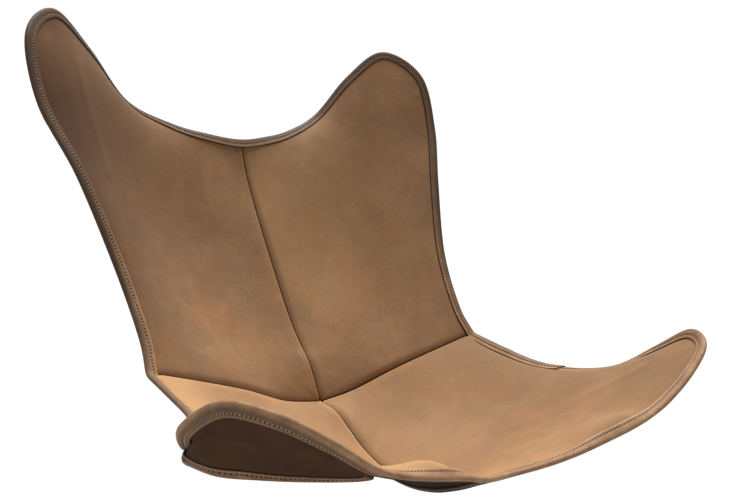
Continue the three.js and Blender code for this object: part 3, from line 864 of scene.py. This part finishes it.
def painted_light_places(kind, side, points, to_edge):
    """Painted light away from the seams: the seat and its lip, and the middle of the back's left
    half, as products of the shares of the way into each."""
    from_middle = part_way(np.abs(points[:, 0]), 0, WING_REACH)
    if kind == "seat":
        whole = 1 - from_middle if side == "left" else 1
        return PALE_SEAT * whole + PALE_LIP[side] * bump(to_edge - LIP_REACH, LIP_FADES)
    if side == "right":
        return 0
    low, high = (part_way(points[:, 2], *heights) for heights in PALE_BACK_HEIGHTS)
    return PALE_BACK * low * high * (1 - from_middle**2)


SIDES = {"left": 1, "right": -1}
HALVES = {"back": (back_half, back_surface, dip), "seat": (seat_half, seat_surface, welt)}


def share_downs():
    """Ways down at the seams: along the waist the back's and seat's are mitred into one, and along
    the centre each stays on the middle plane."""
    downs = []
    for half, surface, _ in HALVES.values():
        normals = point_normals(surface["points"], surface["faces"])
        downs.append(-normals[surface["outline"][half["waist"] :]])
    count = ACROSS + 1
    shared = unit(downs[0][:count] + downs[1][:count])
    shared = shared / np.einsum("ij,ij->i", shared, downs[0][:count])[:, None]
    for surface, down in zip((back_surface, seat_surface), downs):
        down[:count] = shared
        down[count - 1 :, 0] = 0
        surface["seam_downs"] = np.vstack([down[:count], unit(down[count:])])


share_downs()
print("mitred seam points:", len(back_surface["seam_downs"]), len(seat_surface["seam_downs"]))

# %% Panels
# painted highlight on the welts and painted shade in the dips beside the seams
SEAM_HIGHLIGHT = 0.65
SEAM_SHADE = 0.85
CREASE_HIGHLIGHT = {"back": 0.3, "seat": 0.6}
PATCH_HIGHLIGHT = 0.3


def build_panel(kind, side):
    """One panel: its surface lifted by its relief, its underside sunk by the leather's thickness,
    with one shared way down along each seam, and its painted light and painted shade worked out by
    place."""
    half, surface, waist_shape = HALVES[kind]
    panel, points = f"{kind}_{side}", surface["points"]
    to_edge = distance_to(points, half["edge"][::4])
    seams = seam_relief(surface, half, "waist", waist_shape)
    seams = seams + seam_relief(surface, half, "centre", dip if side == "left" else welt)
    # painted highlight on each welt, painted shade in each dip
    painted_light = SEAM_HIGHLIGHT * part_way(seams, 0, WELT_HEIGHT) + painted_light_places(kind, side, points, to_edge)
    shade = SEAM_SHADE * part_way(seams, 0, -DIP_DEPTH) + painted_shade_at(panel, points)
    relief = seams
    if panel in CREASES:
        seen = [0, 1] if kind == "seat" else [0, 2]
        away = distance_to(points[:, seen], smooth(CREASES[panel], 16)[:, seen])
        relief = relief + CREASE_HEIGHT * bump(away, CREASE_WIDTH)
        fading = part_way(to_edge, *SEAT_CREASE_FADES) if kind == "seat" else 1
        # painted highlight along the crease, over its real ridge, and at a patch near the wing tip
        painted_light = painted_light + CREASE_HIGHLIGHT[kind] * fading * bump(away, CREASE_HIGHLIGHT_WIDTH)
        from_patch = np.linalg.norm(points - WING_PATCH, axis=1)
        painted_light = painted_light + PATCH_HIGHLIGHT * bump(from_patch, WING_PATCH_WIDTH)
    # painted shade towards the back panel's outline
    if kind == "back":
        shade = shade + RIM_SHADE * bump(distance_to(points, outline_of(half)[::4]), RIM_FADES)
    relief = relief * part_way(to_edge, BINDING_WIDTH, BINDING_WIDTH + RELIEF_FROM_STRIP)
    normals = point_normals(points, surface["faces"])
    downs = -normals
    downs[surface["outline"][half["waist"] :]] = surface["seam_downs"]
    upper, lower = points + normals * relief[:, None], points + downs * PANEL_LEATHER
    values = {"painted_light": np.clip(painted_light, 0, 1), "shade": np.clip(shade, 0, 1)}
    return add_sheet(
        f"{kind}_panel_{side}", upper, lower, surface["faces"], surface["outline"], SIDES[side],
        [panel_leather, flesh_side], values,
    )


panels = {f"{kind}_panel_{side}": build_panel(kind, side) for side in SIDES for kind in HALVES}
print("panels:", {name: len(piece.data.polygons) for name, piece in panels.items()})

# %% [markdown]
# ## Paths for the strips
# The binding runs over the middle and down both sides in one piece, so its path is the left half's
# edge, carried on past the waist, and its mirror image. A little smoothing rounds the corner at the
# waist as the folded leather does.

# %% Edge paths
STATION_STEP = 2.5
JOINT_FROM_WAIST = 178
JOINT_LAP = 6
CORNER_ROUNDING = 6.0
FACING_ROUNDING = 7.0


def blurred(rows, width):
    """Rows averaged with their neighbours under a bell curve of the given width in millimetres."""
    reach = int(3 * width / STATION_STEP)
    weights = bump(np.arange(-reach, reach + 1) * STATION_STEP, width)
    padded = np.pad(rows, ((reach, reach), (0, 0)), mode="reflect", reflect_type="odd")
    return np.stack([np.convolve(c, weights / weights.sum(), "valid") for c in padded.T], -1)


def framed(points, ups, sign):
    """A path of points with the ways along, inwards and up at each, square to one another."""
    along = unit(np.gradient(points, axis=0))
    inward = sign * unit(np.cross(along, ups))
    up = sign * unit(np.cross(inward, along))
    return {"points": points, "along": along, "inward": inward, "up": up}


def edge_run(half, start, end):
    """Points and facings of a half panel's edge between two lengths, at even steps."""
    count = int(abs(end - start) / STATION_STEP) + 2
    at = frames_at(half, "edge", np.linspace(start, end, count))
    return at["points"], at["up"]


def both_sides(points, ups, sign):
    """A path over both halves from the left half's run, which starts in the middle."""
    points, ups = (np.vstack([rows[:0:-1] * MIRROR, rows]) for rows in (points, ups))
    return framed(blurred(points, CORNER_ROUNDING), unit(blurred(ups, FACING_ROUNDING)), sign)


back_length, seat_length = travelled(back_edge)[-1], travelled(seat_edge)[-1]
joint_at = seat_length - JOINT_FROM_WAIST
wing = edge_run(back_half, 0, back_length)
side_of_seat = edge_run(seat_half, seat_length, joint_at)
back_path = both_sides(*(np.vstack([a, b[1:]]) for a, b in zip(wing, side_of_seat)), 1)
front_path = both_sides(*edge_run(seat_half, 0, joint_at + JOINT_LAP), -1)
for path in (back_path, front_path):
    print("binding path:", round(travelled(path["points"])[-1]), "mm")

# %% [markdown]
# ## Folded strips
# A binding is a strip folded round the edge and sewn through all the layers. Its section is drawn
# once, in distance from the edge and height above the leather, and carried along the path. The
# lower half of the section moves down with whatever the strip holds. A stitched groove runs near
# its inner edge, pressed deeper under every stitch.

# %% The section of a folded strip
PINCH = 0.3
NOSE_TURNS = np.radians([60, 35, 12, -12, -35, -60])
INSIDE_SHARES = (0.66, 0.33, 0.08)
PARED = (-2.8, 5.2)
SLANT_LENGTH = 12


def fold_section(width, row, thickness):
    """Points of the section as distance from the edge, height, share of the depth held, and share
    of the stitches' pinch: over the top, round the nose, back below, then along the inside."""
    t = ROOM + thickness
    top = [
        (width + 0.9, ROOM * 0.8, 0), (width + 0.8, ROOM + 0.3 * thickness, 0),
        (width - 0.1, t - 0.2, 0), (width - 0.8, t + 0.1, 0), (row + 2.2, t + 0.35, 0.1),
        (row + 0.9, t, 0.5), (row, t - 0.55, 1), (row - 0.9, t, 0.5), (row - 2.0, t + 0.35, 0.1),
        (0.42 * width, t + 0.5, 0), (0.25 * width, t + 0.4, 0), (0.1 * width, t + 0.1, 0),
    ]
    nose = 0.1 * width + 0.8 + thickness
    inside = [(width * share, ROOM, 0) for share in INSIDE_SHARES]
    section = [(w, h, 0, p) for w, h, p in top]
    for a in NOSE_TURNS:
        across = 0.1 * width - nose * math.cos(a)
        section.append((across, t * math.sin(a), (math.sin(a) - 1) / 2, 0))
    section += [(w, -h, -1, p) for w, h, p in top[::-1] + inside]
    section += [(-0.4, 0, -0.5, 0)]
    section += [(w, h, 0, p) for w, h, p in inside[::-1]]
    return np.array(section)


def carried(path, section, depth, slant=0, lift=0):
    """The section carried along a path: rows of points at each station. What it holds is pared
    thin towards the fold. A slant shears the section along the path at its start, and the other
    way at its end, and a lift thickens it outwards."""
    across, height, share, pinch = section.T
    lengths = travelled(path["points"])
    thinned = PANEL_LEATHER + (depth[:, None] - PANEL_LEATHER) * part_way(across, *PARED)
    rows = height + share * np.minimum(depth[:, None], thinned)
    wave = np.cos(2 * np.pi * lengths / STITCH_PITCH)[:, None]
    rows = rows - PINCH * pinch * wave * np.where(share < -0.5, -1, 1)
    outwards = np.sign(height) * (np.abs(height) > ROOM * 1.5)
    rows = rows + np.reshape(lift, (-1, 1)) * outwards
    from_ends = bump(lengths, SLANT_LENGTH) - bump(lengths[-1] - lengths, SLANT_LENGTH)
    shear = slant * from_ends
    shift = shear[:, None] * (across - across.max() / 2)
    placed = path["points"][:, None] + path["inward"][:, None] * across[:, None]
    placed = placed + path["up"][:, None] * rows[..., None]
    placed = placed + path["along"][:, None] * shift[..., None]
    return placed, np.stack(np.broadcast_arrays(lengths[:, None], across), -1)


def strip_mesh(rows):
    """Faces of a carried section, closed round and at both ends."""
    stations, count = rows.shape[:2]
    numbers = numbered(stations, count)
    sides = quads(np.column_stack([numbers, numbers[:, 0]]))
    half = count // 2
    caps = []
    for end, turn in ((numbers[0], 1), (numbers[-1], -1)):
        outer, inner = end[:half], end[: count - half - 1 : -1]
        caps.append(np.column_stack([outer[:-1], outer[1:], inner[1:], inner[:-1]])[:, ::turn])
    return rows.reshape(-1, 3), np.vstack([sides, *caps])


# %% Strips, with painted shade
UNDERSIDE_SHADE = 0.78
HELD_BELOW = (-5 / 11, -10 / 11)
OFF_THE_NOSE = (-0.4, 3.6)
FOLD_SHADE = 0.45
OUTER_FOLD = (7, 2)
BEHIND_WAIST = (0, 60)
FULL_HEIGHT = 300
TOP_SHADE = 0.3
TOP_HEIGHTS = (330, 390)
SHOULDER_SHADE = 0.6
SHOULDER = (-245, 60)  # where it is darkest, and the width over which that fades
SHOULDER_HEIGHTS = (390, 430)
SEAT_SIDE_FROM = {"left": -400, "right": -290}
SEAT_SIDE_GROWS = 40


def strip_shade(points, across, held, binding):
    """Painted shade on a strip: as on the panel beside it over the back, more along the top and at
    the far shoulder, and on a binding also on its underside and, beside the seat, on its outer
    fold."""
    x, y, z = points.T
    centre, width = SHOULDER
    shade = painted_shade_at("back_right", points) * part_way(y, *BEHIND_WAIST)
    shade = shade * np.clip(z / FULL_HEIGHT, 0.4, 1.1) + TOP_SHADE * part_way(z, *TOP_HEIGHTS)
    shoulder = bump(x - centre, width) * part_way(z, *SHOULDER_HEIGHTS)
    shade = shade + SHOULDER_SHADE * shoulder
    if binding:
        start = np.where(x > 0, *SEAT_SIDE_FROM.values())
        by_seat = part_way(y, start, start + SEAT_SIDE_GROWS)
        # painted shade on the binding's underside and, beside the seat, on its outer fold
        below = part_way(held, *HELD_BELOW) * part_way(across, *OFF_THE_NOSE)
        shade = shade + UNDERSIDE_SHADE * below
        shade = shade + FOLD_SHADE * part_way(across, *OUTER_FOLD) * by_seat
    return np.clip(shade, 0, DARKEST)


def add_strip(name, path, section, depth, material, **shape):
    """A folded strip along a path, as one piece."""
    rows, uv = carried(path, section, depth, **shape)
    points, faces = strip_mesh(rows)
    across, held = (np.tile(column, len(rows)) for column in (section[:, 0], section[:, 2]))
    shade = strip_shade(points, across, held, material is binding_leather)
    return add_piece(
        f"{name}_strip", points, faces, [material], values={"shade": shade},
        uv=uv.reshape(-1, 2), node=name,
    )


REAR_MOUTH = (0.235, 0.62)
FRONT_MOUTH = (0.3, 0.7)
STEP_HALF = 4
LAP_LENGTH = 14
LAP_SLANT = 0.8
LAP_ROOM = 0.3
EDGE_SECTION = fold_section(BINDING_WIDTH, EDGE_ROW, BINDING_LEATHER)


def held_depth(path, edge_length, mouth):
    """Depth of leather inside the binding: the panel, and the pocket's edge over its stretch, with
    a smooth step of 3 s^2 - 2 s^3 at both ends."""
    lengths = travelled(path["points"])
    from_middle = np.abs(lengths - lengths[-1] / 2)
    start, end = (share * edge_length for share in mouth)
    s = part_way(from_middle, start - STEP_HALF, start + STEP_HALF)
    s = s * part_way(from_middle, end + STEP_HALF, end - STEP_HALF)
    return PANEL_LEATHER + s * s * (3 - 2 * s) * (POCKET_LEATHER + ROOM)


from_start = travelled(back_path["points"])
laps = bump(from_start, LAP_LENGTH) + bump(from_start[-1] - from_start, LAP_LENGTH)
edges = {
    "back": (back_path, held_depth(back_path, back_length, REAR_MOUTH)),
    "front": (front_path, held_depth(front_path, seat_length, FRONT_MOUTH)),
}
ends = {"back": (LAP_SLANT, (BINDING_LEATHER + LAP_ROOM) * laps), "front": (-LAP_SLANT, 0)}
for place, (path, depth) in edges.items():
    name, (slant, lift) = f"edge_binding_{place}", ends[place]
    piece = add_strip(name, path, EDGE_SECTION, depth, binding_leather, slant=slant, lift=lift)
    print(name, "faces:", len(piece.data.polygons))

# %% [markdown]
# ## Stitches
# Each stitch is one short bead of thread, plump in the middle and drawn down at its ends, and
# hundreds of copies are placed at once by adding every bead's axes to one small shape.

# %% Rows of stitches
STITCH_LENGTH = 3.2
STITCH_WIDTH = 1.7
STITCH_SLANT = 0.3
THREAD_SUNK = 0.15
BEAD_SIDES = 6
BEAD_RINGS = np.array([-1, -0.82, -0.35, 0.35, 0.82, 1])
BEAD_END = 1.06
BEAD_BEND = 0.7


def bead():
    """One stitch: rings of a capsule whose radius is a root of the distance left to its end, bent
    down towards both ends. Its corners are length, width and height shares."""
    turn = np.arange(BEAD_SIDES) * 2 * np.pi / BEAD_SIDES
    x = BEAD_RINGS[:, None] + 0 * turn
    radius = np.sqrt(np.clip(BEAD_END - x**2, 0, 1))
    points = np.stack([x, radius * np.cos(turn), radius * np.sin(turn) - BEAD_BEND * x**2], -1)
    numbers = numbered(len(BEAD_RINGS), BEAD_SIDES)
    faces = [quads(np.column_stack([numbers, numbers[:, 0]]))]
    for ring, turned in ((numbers[0], 1), (numbers[-1], -1)):
        faces.append(ring[np.array([[0, 1, 2, 3], [0, 3, 4, 5]])][:, ::turned])
    return points.reshape(-1, 3), np.vstack(faces)


def stitch_row(path, across, height):
    """Beads at every pitch along a path, at a distance across and a height, one per station. The
    height may vary along the path, and a negative one puts the row on the underside. The faces
    of each row are turned to point out on their own, because rows on mirrored paths differ."""
    lengths = travelled(path["points"])
    places = np.arange(STITCH_PITCH, lengths[-1] - STITCH_PITCH / 2, STITCH_PITCH)
    at = {key: filled(places, lengths, rows) for key, rows in path.items()}
    height = np.interp(places, lengths, np.broadcast_to(height, lengths.shape))
    shape, faces = bead()
    along = unit(at["along"] + STITCH_SLANT * at["inward"]) * STITCH_LENGTH / 2
    aside, up = (at[key] * STITCH_WIDTH / 2 for key in ("inward", "up"))
    up = up * np.sign(height.mean())
    centre = at["points"] + at["inward"] * across + at["up"] * height[:, None]
    beads = centre[:, None] + shape @ np.stack([along, aside, up], axis=1)
    beads = beads.reshape(-1, 3)
    faces = (faces + np.arange(len(centre))[:, None, None] * len(shape)).reshape(-1, 4)
    return beads, faces if enclosed(beads, faces) > 0 else faces[:, ::-1]


def add_stitches(name, rows, thread):
    """Rows of stitches as one piece, each row given as its path, distance across and height."""
    points, faces, count = [], [], 0
    for row_points, row_faces in (stitch_row(*row) for row in rows):
        points.append(row_points)
        faces.append(row_faces + count)
        count += len(row_points)
    print(name, "stitches:", count // len(bead()[0]))
    return add_piece(name, np.vstack(points), np.vstack(faces), [thread])


for place, (path, depth) in edges.items():
    seat = ROOM + BINDING_LEATHER - THREAD_SUNK
    rows = [(path, EDGE_ROW, seat), (path, EDGE_ROW, -depth - seat)]
    add_stitches(f"edge_stitches_{place}", rows, edge_thread)

# %% [markdown]
# ## Pockets
# A pocket is a piece of thinner leather under the wing. Its outer edge lies in the binding, it
# turns down just inside it, and its face bows outwards to a hemmed mouth. At each station of the
# edge a smooth curve runs through those places, and the stations side by side make the surface.

# %% Pocket surfaces and hems
POCKET_TURN = 5
POCKET_BOW = 6
POCKET_SAMPLES = 8
POCKET_EDGE = 5.5
POCKET_UNDER = 0.8 * BINDING_WIDTH
POCKET_FACE = (0.3, 0.65)
TURN_DROP = 0.8
MOUTH_DROP = 2
MOUTH_ENDS = (BINDING_WIDTH - 1, 0.75 * BINDING_WIDTH)
HEM_TRIM = 8
HEM_LEATHER = 0.8 * BINDING_LEATHER
HEM_SECTION = fold_section(HEM_WIDTH, HEM_ROW, HEM_LEATHER)
MOUTHS = {
    "rear": (back_half, REAR_MOUTH, REAR_REACH * [
        [0.615, 0.97, 0.767], [0.693, 0.947, 0.74], [0.794, 0.886, 0.708], [0.87, 0.78, 0.702],
        [0.905, 0.684, 0.706],
    ]),
    "front": (seat_half, FRONT_MOUTH, FRONT_REACH * [
        [0.6, 0.945, 0.5], [0.64, 0.9, 0.463], [0.75, 0.86, 0.475], [0.84, 0.82, 0.486],
        [0.925, 0.775, 0.5], [0.945, 0.69, 0.48], [0.948, 0.645, 0.475],
    ]),
}


def pocket_rows(half, mouth, mouth_points):
    """Rows of a pocket at every station of its stretch of edge: under the binding, the turn, the
    bowed face, the mouth."""
    whole = travelled(half["edge"])[-1]
    points, ups = edge_run(half, mouth[0] * whole, mouth[1] * whole)
    path = framed(points, unit(blurred(ups, FACING_ROUNDING)), half["side"])
    shares = travelled(points) / travelled(points)[-1]
    level = -(PANEL_LEATHER + ROOM)
    put = lambda across, height: points + across * path["inward"] + height * path["up"]
    turn_in = BINDING_WIDTH + POCKET_TURN * (1 - (2 * shares[:, None] - 1) ** 8)
    edge, under = put(POCKET_EDGE, level), put(POCKET_UNDER, level)
    turn = put(turn_in, level - TURN_DROP)
    start, end = (put(across, level - MOUTH_DROP)[k] for k, across in zip((0, -1), MOUTH_ENDS))
    mouth = at_shares(smooth([start, *mouth_points, end]), shares)
    bow = POCKET_BOW * np.sin(np.pi * shares)[:, None] * -path["inward"]
    face = [turn + f * (mouth - turn) + bow * math.sin(math.pi * f) for f in POCKET_FACE]
    return smooth([edge, under, turn, *face, mouth], POCKET_SAMPLES).transpose(1, 0, 2)


def hem_path(rows):
    """Path of the hem along a pocket's mouth, facing as the pocket does there."""
    mouth = rows[:, -1]
    even = np.arange(HEM_TRIM, travelled(mouth)[-1] - HEM_TRIM, STATION_STEP)
    points = at_lengths(mouth, even)
    back_in = at_lengths(mouth, even, rows[:, -4] - mouth)
    ups = unit(np.cross(back_in, unit(np.gradient(points, axis=0))))
    return framed(blurred(points, 2.0), unit(blurred(ups, FACING_ROUNDING)), 1)


def mirrored_path(path):
    """A path on the other side of the middle plane."""
    return {key: rows * MIRROR for key, rows in path.items()}


pockets, sewn_on = {}, {}
for place, (half, mouth, mouth_points) in MOUTHS.items():
    rows = pocket_rows(half, mouth, mouth_points)
    numbers = numbered(*rows.shape[:2])
    points, faces = rows.reshape(-1, 3), quads(numbers)
    lower = points + half["side"] * POCKET_LEATHER * point_normals(points, faces)
    path = hem_path(rows)
    depth = np.full(len(path["points"]), POCKET_LEATHER)
    for side, sign in SIDES.items():
        name, hem = f"{place}_pocket_{side}", f"{place}_pocket_hem_{side}"
        pockets[name] = add_sheet(
            name, points, lower, faces, grid_rim(numbers), sign, [pocket_leather]
        )
        side_path = path if sign > 0 else mirrored_path(path)
        strip = add_strip(hem, side_path, HEM_SECTION, depth, hem_leather)
        seat = ROOM + HEM_LEATHER - THREAD_SUNK
        thread_rows = [(side_path, HEM_ROW, seat), (side_path, HEM_ROW, -POCKET_LEATHER - seat)]
        threads = f"{place}_hem_stitches_{side}"
        thread = add_stitches(threads, thread_rows, dark_thread)
        sewn_on[name] = [strip, thread]
    print(place, "pocket mouth:", round(travelled(rows[:, -1])[-1]), "mm")

# %% [markdown]
# ## Seam tapes
# Under each seam a strip of leather is sewn with a row of stitches on both sides. It follows the
# underside of the two panels that meet there, so its section bends where they do.

# %% Tapes under the seams
TAPE_ROOM = 0.4
TAPE_ACROSS = np.array([-1, -0.94, -0.5, -0.12, 0.12, 0.5, 0.94, 1])
TAPE_START = 16
TAPE_STOP = 2
TAPE_ROW = TAPE_WIDTH / 2 - 3.5
TAPE_BEND = 1 / 3
THREAD_PROUD = 0.1


def add_tape(name, first, second):
    """A tape under the seam that two panels share: each side of it leans the way that panel does,
    and its middle the mean of both ways."""
    sides = np.where(TAPE_ACROSS < 0, 0, 1)
    inward, up = (np.stack([first[key], second[key]])[sides] for key in ("inward", "up"))
    lean = part_way(np.abs(TAPE_ACROSS), 0, TAPE_BEND)[:, None, None]
    up = unit(lean * up + (1 - lean) * unit(first["up"] + second["up"]))
    across = np.abs(TAPE_WIDTH / 2 * TAPE_ACROSS)[:, None, None]
    rows = first["points"] + across * inward - up * (PANEL_LEATHER + TAPE_ROOM)
    points, ups = (grid.transpose(1, 0, 2).reshape(-1, 3) for grid in (rows, up))
    numbers = numbered(rows.shape[1], rows.shape[0])
    add_sheet(
        name, points, points - ups * TAPE_LEATHER, quads(numbers), grid_rim(numbers), 1,
        [tape_leather],
    )
    drop = -(PANEL_LEATHER + TAPE_ROOM + TAPE_LEATHER + THREAD_PROUD)
    rows = [(path, TAPE_ROW, drop) for path in (first, second)]
    add_stitches(f"{name}_stitches", rows, dark_thread)


def seam_lengths(seam, start):
    """Even lengths along a seam, up to the binding."""
    return np.arange(start, travelled(seam)[-1] - BINDING_WIDTH - TAPE_STOP, STATION_STEP)


for name, half in (("back_seam_tape", back_half), ("seat_seam_tape", seat_half)):
    run = frames_at(half, "centre", seam_lengths(half["seam"], TAPE_START))
    add_tape(name, run, mirrored_path(run))
runs = []
for half in (back_half, seat_half):
    run = frames_at(half, "waist", seam_lengths(waist_seam, 0))
    run = {key: np.vstack([(rows * MIRROR)[:0:-1], rows]) for key, rows in run.items()}
    runs.append({**run, "along": unit(np.gradient(run["points"], axis=0))})
add_tape("waist_seam_tape", *runs)
print("waist tape:", round(travelled(runs[0]["points"])[-1]), "mm")

# %% [markdown]
# ## Flat sizes
# A table lists the flat size that each sheet was cut to, and the strip it is sewn in, and each
# sheet's row is looked up. The panels are cut close to their shape on the chair; the frame only
# hangs them.

FLAT_SIZES = {  # width and length in metres, area in square metres, and the strip it is sewn in
    "back_panel": (0.43, 0.69, 0.185, "edge_binding_back_strip"),
    "seat_panel": (0.46, 0.53, 0.164, "edge_binding_front_strip"),
    "rear_pocket": (0.12, 0.40, 0.028, "edge_binding_back_strip"),
    "front_pocket": (0.12, 0.34, 0.021, "edge_binding_front_strip"),
}
for name, piece in {**panels, **pockets}.items():
    width, length, area, strip = FLAT_SIZES[name.rsplit("_", 1)[0]]
print("sheets:", len(panels) + len(pockets))

# %% [markdown]
# ## Floor and light
# The sling hangs at its height above a plain pale floor. One broad soft light stands overhead, a
# little behind, as in a studio with pale walls and a dim ceiling.

# %% Stage
FLOOR_BELOW = 0.68
FLOOR_HALF = 60.0
FLOOR_PAINT = (0.56, 0.56, 0.56, 1)
OVERHEAD_FROM = (0.25, 0.34, 0.9)
OVERHEAD_STRENGTH = 6.0
OVERHEAD_ANGLE = math.radians(45)
WALL_TOP = 0.24
WALL_FADES = 0.08
WALLS = (1.02, 1.02, 1.02, 1)
CEILING = (0.13, 0.13, 0.14, 1)
floor_mesh = bpy.data.meshes.new("floor")
corners = [(x * FLOOR_HALF, y * FLOOR_HALF) for x, y in ((-1, -1), (1, -1), (1, 1), (-1, 1))]
floor_mesh.from_pydata([(x, y, -FLOOR_BELOW) for x, y in corners], [], [(0, 1, 2, 3)])
floor = bpy.data.objects.new("floor", floor_mesh)
bpy.context.scene.collection.objects.link(floor)
floor_paint, floor_tree, floor_shader = new_material("floor_paint")
fill(floor_tree, floor_shader.inputs, {"Base Color": FLOOR_PAINT, "Roughness": 0.9})
floor_mesh.materials.append(floor_paint)

world = bpy.data.worlds.new("studio")
bpy.context.scene.world = world
world.use_nodes = True
sky = world.node_tree
direction = add_node(sky, "TexCoord", {})["Generated"]
height = add_node(sky, "SeparateXYZ", {0: direction})[2]
walls = ramp(sky, height, [(WALL_TOP - WALL_FADES, WALLS), (WALL_TOP, CEILING)])
fill(sky, sky.nodes["Background"].inputs, {"Color": walls})

lamp = bpy.data.lights.new("overhead", "SUN")
lamp.energy = OVERHEAD_STRENGTH
lamp.angle = OVERHEAD_ANGLE
overhead = bpy.data.objects.new("overhead", lamp)
bpy.context.scene.collection.objects.link(overhead)
overhead.rotation_euler = Vector(OVERHEAD_FROM).to_track_quat("Z", "Y").to_euler()
bpy.context.scene.view_settings.view_transform = "Standard"
